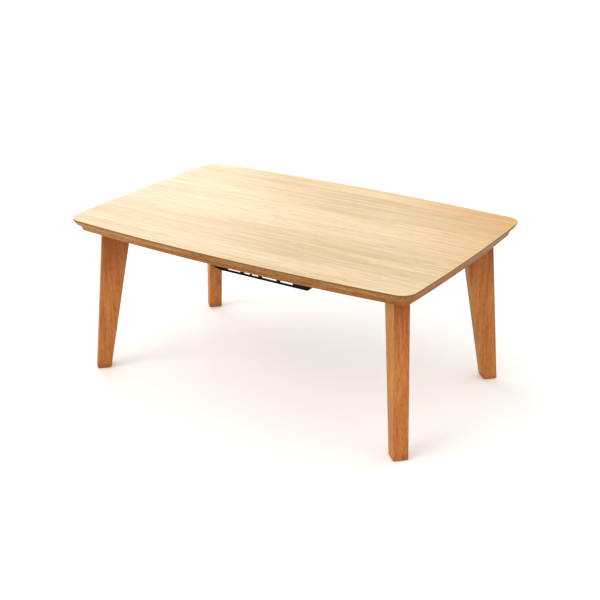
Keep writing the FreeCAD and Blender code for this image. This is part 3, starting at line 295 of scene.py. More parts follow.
def oak_veneer(looks):
    """Sliced oak veneer under clear satin lacquer: pale leaves with long fine streaks, a slow
    change of tone across each leaf, and short darker pores that catch the light."""
    made, tree, shader, place = start("oak_veneer_satin_lacquer")
    figure_length, figure_width = 0.9, 0.055
    # Real oak pores are 0.3 mm wide; 1.6 mm is as fine as the picture can hold.
    pore_length, pore_width = 0.035, 0.0016
    streak_share = 0.68
    split = add(tree, "ShaderNodeSeparateXYZ", {0: place})
    leaf = add(tree, "ShaderNodeMath", {0: split.outputs["Y"], 1: looks.leaf_width}, operation="DIVIDE")
    leaf = add(tree, "ShaderNodeMath", {0: leaf.outputs[0]}, operation="FLOOR")
    chance = add(tree, "ShaderNodeTexWhiteNoise", {"W": leaf.outputs[0]}, noise_dimensions="1D")
    # Each leaf is cut from another part of the log, so its pattern is moved by its own amount.
    moved = add(tree, "ShaderNodeVectorMath", {0: place, 1: chance.outputs["Color"]}, operation="ADD")
    slow = add(tree, "ShaderNodeMapping", {
        "Vector": moved.outputs[0], "Scale": repeats("X", figure_length, figure_width)})
    figure = add(tree, "ShaderNodeTexNoise", {"Vector": slow.outputs[0], "Scale": 1.0, "Detail": 3.0,
                                              "Roughness": 0.5, "Distortion": 0.35})
    fine = add(tree, "ShaderNodeMapping", {
        "Vector": moved.outputs[0], "Scale": repeats("X", looks.streak_length, looks.streak_width)})
    streak = add(tree, "ShaderNodeTexNoise", {"Vector": fine.outputs[0], "Scale": 1.0, "Detail": 5.0,
                                              "Roughness": 0.62, "Distortion": 0.15})
    open_grain = add(tree, "ShaderNodeMapping", {
        "Vector": moved.outputs[0], "Scale": repeats("X", pore_length, pore_width)})
    pores = add(tree, "ShaderNodeTexNoise", {"Vector": open_grain.outputs[0], "Scale": 1.0, "Detail": 2.0,
                                             "Roughness": 0.5})
    both = add(tree, "ShaderNodeMix", {0: streak_share, 2: figure.outputs[0], 3: streak.outputs[0]},
               data_type="FLOAT")
    tone = add(tree, "ShaderNodeValToRGB", {0: both.outputs[0]},
               stops=[(0.4, tuple(looks.warm)), (0.57, tuple(looks.pale))])
    leaf_tone = add(tree, "ShaderNodeMapRange", {"Value": chance.outputs["Value"],
                                                 "To Min": 0.93, "To Max": 1.04})
    toned = add(tree, "ShaderNodeHueSaturation", {"Color": tone.outputs[0],
                                                  "Value": leaf_tone.outputs[0]})
    dark = add(tree, "ShaderNodeValToRGB", {0: pores.outputs[0]},
               stops=[(0.56, grey(0.0)), (0.72, grey(0.5))])
    # Painted shade, drawn as browner heartwood, rises towards the back right, away from the light, in
    #     tongues that follow the grain. It starts and is full where X plus Y, in metres, plus a share of
    #     the figure reaches these values.
    shaded_heart_start, shaded_heart_full, tongue_share = 0.62, 0.98, 0.6
    to_right = add(tree, "ShaderNodeMath", {0: split.outputs["X"], 1: split.outputs["Y"]}, operation="ADD")
    tongue = add(tree, "ShaderNodeMath", {0: figure.outputs[0], 1: tongue_share, 2: to_right.outputs[0]},
                 operation="MULTIPLY_ADD")
    shaded_heart = add(tree, "ShaderNodeMapRange", {"Value": tongue.outputs[0], "From Min": shaded_heart_start,
                                             "From Max": shaded_heart_full, "To Max": 0.9})
    # The pale lines of early wood take the brown less than the late wood between them.
    lines = add(tree, "ShaderNodeMapRange", {"Value": streak.outputs[0], "From Min": 0.36, "From Max": 0.6,
                                             "To Min": 1.0, "To Max": 0.55})
    lined = add(tree, "ShaderNodeMath", {0: shaded_heart.outputs[0], 1: lines.outputs[0]}, operation="MULTIPLY")
    browned = add(tree, "ShaderNodeMix", {0: lined.outputs[0], 6: toned.outputs[0], 7: tuple(looks.shaded_heart)},
                  data_type="RGBA")
    pored = add(tree, "ShaderNodeMix", {0: dark.outputs[0], 6: browned.outputs[2], 7: tuple(looks.pore)},
                data_type="RGBA")
    # Painted highlight: the eased edge, where the normal leans outwards, is made pale, as the lit edge of the
    # lacquer looks.
    facing = add(tree, "ShaderNodeSeparateXYZ",
                 {0: add(tree, "ShaderNodeTexCoord").outputs["Normal"]})
    rim = add(tree, "ShaderNodeMapRange", {"Value": facing.outputs["Z"], "From Min": 0.6, "From Max": 0.95,
                                           "To Min": 0.85, "To Max": 0.0})
    shown = add(tree, "ShaderNodeMix", {0: rim.outputs[0], 6: pored.outputs[2], 7: tuple(looks.eased)},
                data_type="RGBA")
    rough = add(tree, "ShaderNodeMapRange", {"Value": streak.outputs[0], "From Min": 0.3, "From Max": 0.7,
                                             "To Min": 0.36, "To Max": 0.46})
    bump = add(tree, "ShaderNodeBump", {"Height": pores.outputs[0], "Strength": 0.25, "Distance": 0.00012})
    wire(tree, shader, {"Base Color": shown.outputs[2], "Roughness": rough.outputs[0],
                        "Normal": bump.outputs[0], "IOR": 1.5})
    return made


def stained_wood(name, main, dark, grain, looks, rough=0.42, scuffs_and_painted_light=False, shade_to_right=0.0):
    """Rubberwood, planed, stained brown and sprayed with satin lacquer: short darker dashes of
    pore and soft streaks along the grain. A leg gets scuffs, darker at the foot, painted shade just
    under the frame, and painted light, yellower, where it faces the front left. Where a share of
    painted shade to the right is given, the colour darkens by that share from the left end to the right."""
    made, tree, shader, place = start(name)
    figure_length, figure_width = 0.22, 0.03
    streak_share = 0.62
    slow = add(tree, "ShaderNodeMapping", {
        "Vector": place, "Scale": repeats(grain, figure_length, figure_width)})
    figure = add(tree, "ShaderNodeTexNoise", {"Vector": slow.outputs[0], "Scale": 1.0, "Detail": 2.0,
                                              "Distortion": 0.3})
    fine = add(tree, "ShaderNodeMapping", {
        "Vector": place, "Scale": repeats(grain, looks.streak_length, looks.streak_width)})
    streak = add(tree, "ShaderNodeTexNoise", {"Vector": fine.outputs[0], "Scale": 1.0, "Detail": 4.0,
                                              "Roughness": 0.6})
    short = add(tree, "ShaderNodeMapping", {
        "Vector": place, "Scale": repeats(grain, looks.pore_length, looks.pore_width)})
    pores = add(tree, "ShaderNodeTexNoise", {"Vector": short.outputs[0], "Scale": 1.0, "Detail": 1.0})
    both = add(tree, "ShaderNodeMix", {0: streak_share, 2: figure.outputs[0], 3: streak.outputs[0]},
               data_type="FLOAT")
    tone = add(tree, "ShaderNodeMapRange", {"Value": both.outputs[0], "From Min": 0.36, "From Max": 0.62,
                                            "To Min": 0.65, "To Max": 0.0})
    dash = add(tree, "ShaderNodeMapRange", {"Value": pores.outputs[0], "From Min": 0.5, "From Max": 0.72,
                                            "To Min": 0.0, "To Max": 0.5})
    share = add(tree, "ShaderNodeMath", {0: tone.outputs[0], 1: dash.outputs[0]}, operation="ADD",
                use_clamp=True)
    base = tuple(main)
    # A leg gets real scuffs at the foot, painted shade under the frame and painted light on front-left faces.
    if scuffs_and_painted_light:
        # Scuffs reach an uneven height, at most this far above the floor.
        scuff_height = 0.03
        tall = add(tree, "ShaderNodeSeparateXYZ", {0: place})
        patch = add(tree, "ShaderNodeTexNoise", {"Vector": place, "Scale": 90.0, "Detail": 3.0})
        edge = add(tree, "ShaderNodeMath", {0: patch.outputs[0], 1: scuff_height}, operation="MULTIPLY")
        worn = add(tree, "ShaderNodeMath", {0: edge.outputs[0], 1: tall.outputs["Z"]}, operation="SUBTRACT")
        worn = add(tree, "ShaderNodeMapRange", {"Value": worn.outputs[0], "From Max": 0.01,
                                                "To Max": 0.35})
        share = add(tree, "ShaderNodeMath", {0: share.outputs[0], 1: worn.outputs[0]}, operation="ADD",
                    use_clamp=True)
        # Painted shade under the frame, where the rails overhang the leg: it starts at the first of
        #         these depths below the rails, and is full from the second.
        shade_start, shade_full, shade_share = 150 * MM, 15 * MM, 0.64
        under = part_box("rail_front")[0].z
        under_frame_shade = add(tree, "ShaderNodeMapRange", {
            "Value": tall.outputs["Z"], "From Min": under - shade_start, "From Max": under - shade_full,
            "To Max": shade_share})
        # Painted light: faces that look to the front left, towards the light, are yellower and lighter, and
        # get no painted shade.
        front_left = (-0.71, -0.71, 0.0)
        towards = add(tree, "ShaderNodeVectorMath",
                      {0: add(tree, "ShaderNodeTexCoord").outputs["Normal"], 1: front_left},
                      operation="DOT_PRODUCT")
        painted_light_share = add(tree, "ShaderNodeMapRange", {"Value": towards.outputs["Value"], "From Min": 0.6,
                                                "From Max": 0.9})
        unlit_share = add(tree, "ShaderNodeMath", {0: 1.0, 1: painted_light_share.outputs[0]}, operation="SUBTRACT")
        under_frame_shade = add(tree, "ShaderNodeMath", {0: under_frame_shade.outputs[0], 1: unlit_share.outputs[0]},
                    operation="MULTIPLY")
        share = add(tree, "ShaderNodeMath", {0: share.outputs[0], 1: under_frame_shade.outputs[0]}, operation="ADD",
                    use_clamp=True)
        base = add(tree, "ShaderNodeMix", {0: painted_light_share.outputs[0], 6: base, 7: tuple(looks.leg_painted_light)},
                   data_type="RGBA").outputs[2]
    if shade_to_right:
        # Painted shade: the colour darkens towards the right end, away from the light, as on the top,
        #         and is full a tenth of the half length before it.
        full_share = 0.9
        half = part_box("top_board")[1].x
        across = add(tree, "ShaderNodeSeparateXYZ", {0: place})
        right_shade = add(tree, "ShaderNodeMapRange", {"Value": across.outputs["X"], "From Min": -half,
                                                "From Max": full_share * half, "To Max": shade_to_right})
        share = add(tree, "ShaderNodeMath", {0: share.outputs[0], 1: right_shade.outputs[0]}, operation="ADD",
                    use_clamp=True)
    shown = add(tree, "ShaderNodeMix", {0: share.outputs[0], 6: base, 7: tuple(dark)},
                data_type="RGBA")
    gloss = add(tree, "ShaderNodeMapRange", {"Value": streak.outputs[0], "From Min": 0.3, "From Max": 0.7,
                                             "To Min": rough - 0.05, "To Max": rough + 0.07})
    bump = add(tree, "ShaderNodeBump", {"Height": pores.outputs[0], "Strength": 0.3, "Distance": 0.00012})
    wire(tree, shader, {"Base Color": shown.outputs[2], "Roughness": gloss.outputs[0],
                        "Normal": bump.outputs[0], "IOR": 1.45,
                        "Specular IOR Level": 0.05})
    return made


def stained_edge(looks, woods):
    """The top's edge, moulded and stained: the grain runs along whichever side it is on, and the
    stain has gathered darker on the thin lip above the bevel."""
    made = stained_wood("stained_moulded_edge", looks.edge, woods.frame_dark, "X", woods, rough=0.45,
                        shade_to_right=PAINTED_SHADE_TO_RIGHT)
    tree = made.node_tree
    place = [node for node in tree.nodes if node.type == "TEX_COORD"][0].outputs["Object"]
    shader = [node for node in tree.nodes if node.type == "BSDF_PRINCIPLED"][0]
    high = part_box("top_board")[1]
    # The dark stain ends 0.8 mm below the lip's own lower edge.
    lip_stain = 3.8 * MM
    split = add(tree, "ShaderNodeSeparateXYZ", {0: place})
    from_end = add(tree, "ShaderNodeMath", {0: split.outputs["X"]}, operation="ABSOLUTE")
    from_end = add(tree, "ShaderNodeMath", {0: high.x, 1: from_end.outputs[0]}, operation="SUBTRACT")
    from_side = add(tree, "ShaderNodeMath", {0: split.outputs["Y"]}, operation="ABSOLUTE")
    from_side = add(tree, "ShaderNodeMath", {0: high.y, 1: from_side.outputs[0]}, operation="SUBTRACT")
    by_end = add(tree, "ShaderNodeMath", {0: from_end.outputs[0], 1: from_side.outputs[0]},
                 operation="LESS_THAN")
    # On the short sides the pattern reads Y where it reads X on the long ones.
    swapped = add(tree, "ShaderNodeCombineXYZ", {"X": split.outputs["Y"], "Y": split.outputs["X"],
                                                 "Z": split.outputs["Z"]})
    along = add(tree, "ShaderNodeMix", {0: by_end.outputs[0], 4: place, 5: swapped.outputs[0]},
                data_type="VECTOR")
    for node in tree.nodes:
        if node.type == "MAPPING":
            tree.links.new(along.outputs[1], node.inputs["Vector"])
    stained = shader.inputs["Base Color"].links[0].from_socket
    lip = add(tree, "ShaderNodeMath", {0: split.outputs["Z"], 1: high.z - lip_stain},
              operation="GREATER_THAN")
    shown = add(tree, "ShaderNodeMix", {0: lip.outputs[0], 6: stained, 7: tuple(looks.lip)},
                data_type="RGBA")
    wire(tree, shader, {"Base Color": shown.outputs[2]})
    return made


class LOWTABLE_OT_finish_top(bpy.types.Operator):
    """Finish the lift-off top: oak veneer, stained edge and balancing sheet"""
    bl_idname = "low_table.finish_top"
    bl_label = "Finish top"

    def execute(self, context):
        looks, woods = context.scene.low_table_top, context.scene.low_table_wood
        coat(["top_veneer"], oak_veneer(looks))
        coat(["top_board"], stained_edge(looks, woods))
        backing = stained_wood("printed_balancing_sheet", looks.backing, woods.frame_dark, "X", woods,
                               rough=0.55)
        coat(["top_backing"], backing)
        return {"FINISHED"}


class LOWTABLE_OT_finish_frame(bpy.types.Operator):
    """Finish the frame: stained rails and corner blocks, plain inner rails and dowels"""
    bl_idname = "low_table.finish_frame"
    bl_label = "Finish frame"

    def execute(self, context):
        looks = context.scene.low_table_wood
        long_grain = stained_wood("stained_rail_long", looks.frame, looks.frame_dark, "X", looks,
                                  shade_to_right=PAINTED_SHADE_TO_RIGHT)
        cross_grain = stained_wood("stained_rail_short", looks.frame, looks.frame_dark, "Y", looks,
                                   shade_to_right=PAINTED_SHADE_TO_RIGHT)
        coat(["rail_front", "rail_back"], long_grain)
        coat(["rail_left", "rail_right"], cross_grain)
        coat(["corner_block_" + corner for corner in CORNERS], long_grain)
        plain = stained_wood("plain_planed_rail", looks.inner, looks.frame, "Y", looks, rough=0.6)
        plain_long = stained_wood("plain_planed_stretcher", looks.inner, looks.frame, "X", looks,
                                  rough=0.6)
        coat(["cross_rail_left", "cross_rail_right"], plain)
        coat(["stretcher_front", "stretcher_back", "frame_dowels"], plain_long)
        return {"FINISHED"}


class LOWTABLE_OT_finish_legs(bpy.types.Operator):
    """Finish the four legs: stained wood with the grain running down to the foot"""
    bl_idname = "low_table.finish_legs"
    bl_label = "Finish legs"

    def execute(self, context):
        looks = context.scene.low_table_wood
        wood = stained_wood("stained_leg", looks.leg, looks.leg_dark, "Z", looks, scuffs_and_painted_light=True)
        coat(["leg_" + corner for corner in CORNERS], wood)
        return {"FINISHED"}


# Pads

def pressed_felt(looks):
    """Wool felt, needled and pressed: matt brown fibres that run every way, with a soft bloom of
    loose hairs at a low angle."""
    made, tree, shader, place = start("pressed_wool_felt")
    # Fibres are 0.03 mm thick; tufts of 0.8 mm are what shows.
    tufts = add(tree, "ShaderNodeTexNoise", {"Vector": place, "Scale": 1 / (0.8 * MM), "Detail": 6.0,
                                             "Roughness": 0.7, "Distortion": 1.2})
    shown = add(tree, "ShaderNodeValToRGB", {0: tufts.outputs[0]},
                stops=[(0.3, tuple(0.6 * c for c in looks.felt[:3]) + (1.0,)), (0.7, tuple(looks.felt))])
    bump = add(tree, "ShaderNodeBump", {"Height": tufts.outputs[0], "Strength": 0.8, "Distance": 0.0003})
    wire(tree, shader, {"Base Color": shown.outputs[0], "Roughness": 0.95, "Normal": bump.outputs[0],
                        "Sheen Weight": 0.4, "Sheen Roughness": 0.5})
    return made


def moulded_rubber(looks):
    """Nitrile rubber, moulded: near-black and matt, with a faint grey bloom in patches."""
    made, tree, shader, place = start("moulded_nitrile_rubber")
    bloom = add(tree, "ShaderNodeTexNoise", {"Vector": place, "Scale": 1 / (6 * MM), "Detail": 3.0})
    light = tuple(min(1.0, c * 1.9) for c in looks.rubber[:3]) + (1.0,)
    shown = add(tree, "ShaderNodeValToRGB", {0: bloom.outputs[0]},
                stops=[(0.4, tuple(looks.rubber)), (0.75, light)])
    rough = add(tree, "ShaderNodeMapRange", {"Value": bloom.outputs[0], "To Min": 0.55, "To Max": 0.8})
    grit = add(tree, "ShaderNodeTexNoise", {"Vector": place, "Scale": 1 / (0.5 * MM), "Detail": 2.0})
    bump = add(tree, "ShaderNodeBump", {"Height": grit.outputs[0], "Strength": 0.2, "Distance": 0.0001})
    wire(tree, shader, {"Base Color": shown.outputs[0], "Roughness": rough.outputs[0],
                        "Normal": bump.outputs[0], "IOR": 1.52})
    return made


class LOWTABLE_OT_felt_glides(bpy.types.Operator):
    """Make the four felt pads under the feet, with rounded corners and eased edges"""
    bl_idname = "low_table.felt_glides"
    bl_label = "Felt glides"

    def execute(self, context):
        looks = context.scene.low_table_pads
        felt = pressed_felt(looks)
        for corner in CORNERS:
            node = "foot_glide_" + corner
            low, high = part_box(node)
            mesh = frame["nodes"][node].data
            points = np.empty(len(mesh.vertices) * 3)
            mesh.vertices.foreach_get("co", points)
            points = points.reshape(-1, 3)[:, :2]
            centre = (points.min(0) + points.max(0)) / 2
            # The pad stands across its corner, so its own axes are the two diagonals.
            outward = np.array([math.copysign(1, centre[0]), math.copysign(1, centre[1])]) / math.sqrt(2)
            aside = np.array([-outward[1], outward[0]])
            half_x = np.abs((points - centre) @ outward).max()
            half_y = np.abs((points - centre) @ aside).max()
            edge = outline(half_x, half_y, looks.felt_corner, math.atan2(outward[1], outward[0]))
            # Loose fibres make the cut edge uneven by a tenth of a millimetre: a share of the
            # pad's size, as a sine of the point's number.
            uneven_share, uneven_step = 0.006, 2.4
            wave = 0.5 + 0.5 * np.sin(np.arange(len(edge)) * uneven_step)
            uneven = 1 - uneven_share * wave
            profile = eased_profile(low.z, high.z, looks.felt_ease, half_x)
            profile = np.vstack([profile, [[PAD_MIDDLE_SHARE, high.z]]])
            rings = pad_rings(centre, edge * uneven[:, None], profile)
            skin("felt_" + corner, rings, felt, "frame", [node])
        return {"FINISHED"}


class LOWTABLE_OT_rubber_pads(bpy.types.Operator):
    """Make the anti-slip pads that the top rests on, with ring grooves in their faces"""
    bl_idname = "low_table.rubber_pads"
    bl_label = "Rubber pads"

    def execute(self, context):
        looks = context.scene.low_table_pads
        rubber = moulded_rubber(looks)
        ease = 0.5 * MM
        middle_share = 0.08
        low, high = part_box("top_pads")
        # The pads are 20 mm across and lie much further apart than this.
        spots = separate_spots("top_pads", 30 * MM)
        widest = max(abs(spot[0]) for spot in spots)
        radius = high.x - widest
        for number, spot in enumerate(spots, start=1):
            # A corner radius of nearly the whole half width makes the outline a circle.
            edge = outline(radius, radius, radius * 0.999, 0, columns=64)
            profile = eased_profile(low.z, high.z, ease, radius)
            share = np.linspace(1 - ease / radius, middle_share, 48)[1:]
            wave = 0.5 - 0.5 * np.cos(2 * math.pi * looks.ribs * share)
            grooved = np.stack([share, high.z - looks.rib_depth * wave], -1)
            rings = pad_rings(spot, edge, np.vstack([profile, grooved]))
            skin("rubber_pad_%d" % number, rings, rubber, "frame", ["top_pads"])
        return {"FINISHED"}


# Metals and mouldings

def sheet_metal(name, shade, rough, grain, patch_mm, streak_mm=0.6):
    """Bare or plated sheet: rolling marks along one way, and slow patches of duller surface.
    The metal keeps Blender's own IOR."""
    made, tree, shader, place = start(name)
    rolled = add(tree, "ShaderNodeMapping", {"Vector": place,
                                             "Scale": repeats(grain, 60 * MM, streak_mm * MM)})
    marks = add(tree, "ShaderNodeTexNoise", {"Vector": rolled.outputs[0], "Scale": 1.0, "Detail": 3.0})
    patch = add(tree, "ShaderNodeTexNoise", {"Vector": place, "Scale": 1 / (patch_mm * MM), "Detail": 4.0})
    dull = tuple(c * 0.72 for c in linear(shade)[:3]) + (1.0,)
    shown = add(tree, "ShaderNodeValToRGB", {0: patch.outputs[0]}, stops=[(0.3, dull), (0.65, linear(shade))])
    gloss = add(tree, "ShaderNodeMapRange", {"Value": marks.outputs[0], "From Min": 0.3, "From Max": 0.7,
                                             "To Min": rough - 0.06, "To Max": rough + 0.08})
    bump = add(tree, "ShaderNodeBump", {"Height": marks.outputs[0], "Strength": 0.12, "Distance": 0.00008})
    wire(tree, shader, {"Base Color": shown.outputs[0], "Roughness": gloss.outputs[0], "Metallic": 1.0,
                        "Normal": bump.outputs[0]})
    return made


def coated(name, shade, rough, grit_mm, grit, ior=1.5, shine=0.5):
    """A dark coat, baked or moulded: even colour with a fine grain that breaks up the shine, and
    dust-grey rubbing in faint patches."""
    made, tree, shader, place = start(name)
    fine = add(tree, "ShaderNodeTexNoise", {"Vector": place, "Scale": 1 / (grit_mm * MM), "Detail": 3.0})
    rub = add(tree, "ShaderNodeTexNoise", {"Vector": place, "Scale": 1 / (25 * MM), "Detail": 5.0,
                                           "Roughness": 0.65})
    lifted = tuple(c * 1.5 + 0.003 for c in shade[:3]) + (1.0,)
    shown = add(tree, "ShaderNodeValToRGB", {0: rub.outputs[0]}, stops=[(0.45, tuple(shade)), (0.8, lifted)])
    gloss = add(tree, "ShaderNodeMapRange", {"Value": rub.outputs[0], "From Min": 0.35, "From Max": 0.75,
                                             "To Min": rough - 0.05, "To Max": rough + 0.12})
    bump = add(tree, "ShaderNodeBump", {"Height": fine.outputs[0], "Strength": grit, "Distance": 0.00015})
    wire(tree, shader, {"Base Color": shown.outputs[0], "Roughness": gloss.outputs[0],
                        "Normal": bump.outputs[0], "IOR": ior, "Specular IOR Level": shine})
    return made


def milky_quartz(looks):
    """Drawn quartz glass with fine bubbles: it passes the strip's shape softly and looks white
    at the edges, with faint lines along the draw."""
    made, tree, shader, place = start("milky_drawn_quartz")
    drawn = add(tree, "ShaderNodeMapping", {"Vector": place, "Scale": repeats("X", 40 * MM, 0.8 * MM)})
    lines = add(tree, "ShaderNodeTexNoise", {"Vector": drawn.outputs[0], "Scale": 1.0, "Detail": 2.0})
    rough = add(tree, "ShaderNodeMapRange", {"Value": lines.outputs[0], "To Min": 0.12, "To Max": 0.38})
    bump = add(tree, "ShaderNodeBump", {"Height": lines.outputs[0], "Strength": 0.2, "Distance": 0.0001})
    wire(tree, shader, {"Base Color": tuple(looks.quartz), "Roughness": rough.outputs[0],
                        "Normal": bump.outputs[0], "Transmission Weight": 0.75, "IOR": 1.458})
    return made


def woven_carbon(looks):
    """Carbon yarn woven into a narrow tape: graphite grey with a checked sparkle of crossing yarns."""
    made, tree, shader, place = start("woven_carbon_tape")
    check = add(tree, "ShaderNodeTexChecker", {"Vector": place, "Scale": 1 / (0.9 * MM),
                                               "Color1": tuple(looks.carbon), "Color2": linear("#3c3c40")})
    rough = add(tree, "ShaderNodeMapRange", {"Value": check.outputs[1], "To Min": 0.35, "To Max": 0.6})
    bump = add(tree, "ShaderNodeBump", {"Height": check.outputs[1], "Strength": 0.5, "Distance": 0.00015})
    wire(tree, shader, {"Base Color": check.outputs[0], "Roughness": rough.outputs[0],
                        "Normal": bump.outputs[0], "Metallic": 0.2})
    return made


def fired_ceramic(looks):
    """Steatite, pressed and fired unglazed: warm white and matt, with grey specks."""
    made, tree, shader, place = start("fired_steatite")
    specks = add(tree, "ShaderNodeTexNoise", {"Vector": place, "Scale": 1 / (1.2 * MM), "Detail": 2.0})
    shown = add(tree, "ShaderNodeValToRGB", {0: specks.outputs[0]},
                stops=[(0.25, linear("#b9b2a2")), (0.42, tuple(looks.ceramic))])
    bump = add(tree, "ShaderNodeBump", {"Height": specks.outputs[0], "Strength": 0.25, "Distance": 0.0001})
    wire(tree, shader, {"Base Color": shown.outputs[0], "Roughness": 0.7, "Normal": bump.outputs[0],
                        "IOR": 1.6})
    return made


def fibre_blanket(looks):
    """Ceramic fibre, needled into a blanket: off-white, matt and clumped, with lines where the
    fibres lie along the roll."""
    made, tree, shader, place = start("ceramic_fibre_blanket")
    rolled = add(tree, "ShaderNodeMapping", {"Vector": place, "Scale": repeats("X", 12 * MM, 2 * MM)})
    clumps = add(tree, "ShaderNodeTexNoise", {"Vector": rolled.outputs[0], "Scale": 1.0, "Detail": 6.0,
                                              "Roughness": 0.7})
    shown = add(tree, "ShaderNodeValToRGB", {0: clumps.outputs[0]},
                stops=[(0.3, linear("#b8b2a3")), (0.65, tuple(looks.fibre))])
    bump = add(tree, "ShaderNodeBump", {"Height": clumps.outputs[0], "Strength": 0.8, "Distance": 0.0005})
    wire(tree, shader, {"Base Color": shown.outputs[0], "Roughness": 0.95, "Normal": bump.outputs[0],
                        "Sheen Weight": 0.3})
    return made


class LOWTABLE_OT_finish_fastenings(bpy.types.Operator):
    """Finish the bolts, washers and inserts of the legs and the heater's screws"""
    bl_idname = "low_table.finish_fastenings"
    bl_label = "Finish fastenings"

    def execute(self, context):
        # Bright zinc plate: bluish silver, a little cloudy.
        zinc = sheet_metal("bright_zinc_plate", "#c9ccd0", 0.3, "Z", 5)
        coat(["leg_bolts", "leg_washers", "spring_washers", "leg_inserts"], zinc)
        black_screw = coated("black_oxide_screw", linear("#202022"), 0.35, 0.6, 0.15)
        coat(["heater_screws"], black_screw)
        return {"FINISHED"}


class LOWTABLE_OT_finish_heater_case(bpy.types.Operator):
    """Finish the heater's outside: coated pan, enamelled guard, moulded end and power inlet"""
    bl_idname = "low_table.finish_heater_case"
    bl_label = "Finish heater case"

    def execute(self, context):
        looks = context.scene.low_table_heater
        enamel = coated("baked_black_enamel", looks.enamel, 0.5, 1.2, 0.12, shine=0.08)
        coat(["guard_front", "guard_back", "guard_end", "guard_floor"], enamel)
        moulded = coated("moulded_black_resin", looks.plastic, 0.55, 0.7, 0.3, shine=0.1)
        coat(["control_box", "power_inlet"], moulded)
        coat(["heater_pan"], coated("coated_steel_pan", looks.pan, 0.45, 1.5, 0.2))
        return {"FINISHED"}


class LOWTABLE_OT_finish_heater_inside(bpy.types.Operator):
    """Finish what lies in the heater: reflector, tubes, ends, brackets and electrical parts"""
    bl_idname = "low_table.finish_heater_inside"
    bl_label = "Finish heater inside"

    def execute(self, context):
        looks = context.scene.low_table_heater
        # Bright rolled aluminium: nearly a mirror, with fine lines across the heater.
        coat(["heat_reflector"], sheet_metal("bright_rolled_aluminium", "#e2e4e6", 0.16, "X", 30))
        coat(["heating_tube_front", "heating_tube_back"], milky_quartz(looks))
        coat(["tube_end_caps"], fired_ceramic(looks))
        # Cold rolled steel: grey and duller than the reflector.
        coat(["tube_bracket_left", "tube_bracket_right"],
             sheet_metal("cold_rolled_steel", "#a9aaac", 0.36, "Y", 12))
        # Brass strip, punched: yellow with a brown tarnish in patches.
        brass = sheet_metal("punched_brass", "#d3b06a", 0.3, "X", 4)
        coat(["link_strap", "feed_straps", "inlet_pins"], brass)
        coat(["thermostat"], sheet_metal("drawn_aluminium_case", "#c7c8ca", 0.3, "Z", 5))
        coat(["thermal_fuse"], sheet_metal("tinned_fuse_case", "#b9b4a6", 0.34, "X", 4))
        coat(["terminal_block"], coated("cream_thermoset", linear("#d8cfb8"), 0.5, 1.0, 0.2))
        return {"FINISHED"}


class LOWTABLE_OT_carbon_strips(bpy.types.Operator):
    """Make the two woven carbon strips inside the tubes, twisted, with a round lead at each end"""
    bl_idname = "low_table.carbon_strips"
    bl_label = "Carbon strips"

    def execute(self, context):
        looks = context.scene.low_table_heater
        carbon = woven_carbon(looks)
        half_thick = 0.45 * MM
        lead = 0.75 * MM
        swell_length = 6 * MM
        # Powers below one make the section a rounded rectangle in place of an ellipse.
        squareness = 0.7
        for name in ("front", "back"):
            node = "filament_" + name
            low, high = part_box(node)
            tube_low, tube_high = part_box("heating_tube_" + name)
            middle = np.array([(low.y + high.y) / 2, (low.z + high.z) / 2])
            half_width = (high.y - low.y) / 2
            along = np.linspace(low.x, high.x, 260)
            # The strip swells from the round lead at each end of its tube, and smoothly.
            inside = np.minimum(along - tube_low.x, tube_high.x - along)
            swell = np.clip(inside / swell_length, 0, 1)
            swell = swell * swell * (3 - 2 * swell)
            wide = lead + (half_width * 0.95 - lead) * swell
            thick = lead + (half_thick - lead) * swell
            run = np.clip((along - tube_low.x) / (tube_high.x - tube_low.x), 0, 1)
            turn = run * looks.twist * 2 * math.pi
            angle = np.arange(20) / 20 * 2 * math.pi
            across = wide[:, None] * np.sign(np.cos(angle)) * np.abs(np.cos(angle)) ** squareness
            upward = thick[:, None] * np.sign(np.sin(angle)) * np.abs(np.sin(angle)) ** squareness
            y = middle[0] + across * np.cos(turn)[:, None] - upward * np.sin(turn)[:, None]
            z = middle[1] + across * np.sin(turn)[:, None] + upward * np.cos(turn)[:, None]
            rings = np.stack([np.broadcast_to(along[:, None], y.shape), y, z], -1)
            skin("carbon_strip_" + name, rings, carbon, "frame", [node])
        return {"FINISHED"}


class LOWTABLE_OT_fibre_blanket(bpy.types.Operator):
    """Make the fibre blanket between the reflector and the pan, soft-edged and slightly uneven"""
    bl_idname = "low_table.fibre_blanket"
    bl_label = "Fibre blanket"

    def execute(self, context):
        looks = context.scene.low_table_heater
        low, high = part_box("insulation_pad")
        centre = np.array([(low.x + high.x) / 2, (low.y + high.y) / 2])
        half_x, half_y = (high.x - low.x) / 2, (high.y - low.y) / 2
        corner, middle_share = 4 * MM, 0.05
        ease = (high.z - low.z) * 0.45
        edge = outline(half_x, half_y, corner, 0, columns=160)
        profile = eased_profile(low.z, high.z, ease, half_y)
        share = np.linspace(1 - ease / half_y, middle_share, 40)[1:]
        profile = np.vstack([profile, np.stack([share, np.full(len(share), high.z)], -1)])
        rings = pad_rings(centre, edge, profile)
        # The upper face dips by up to a third of a millimetre, as the sum of two slow waves.
        deepest, tolerance = 0.33 * MM, 0.01 * MM
        upper = rings[..., 2] > high.z - tolerance
        dip = 0.5 + 0.25 * np.sin(rings[..., 0] * 90) + 0.25 * np.sin(rings[..., 1] * 130 + 1)
        rings[..., 2] -= np.where(upper, deepest * dip, 0)
        piece = skin("fibre_blanket", rings, fibre_blanket(looks), "frame", ["insulation_pad"])
        return {"FINISHED"}


# Stage

def soft_light(name, place, size, power, shade):
    """A large square light that faces the middle of the table."""
    data = bpy.data.lights.new(name, "AREA")
    data.size = size
    data.energy = power
    data.color = linear(shade)[:3]
    light = bpy.data.objects.new(name, data)
    light.location = place
    middle_of_table = Vector((0, 0, 0.3))
    aim = middle_of_table - Vector(place)
    light.rotation_euler = aim.to_track_quat("-Z", "Y").to_euler()
    bpy.context.scene.collection.objects.link(light)


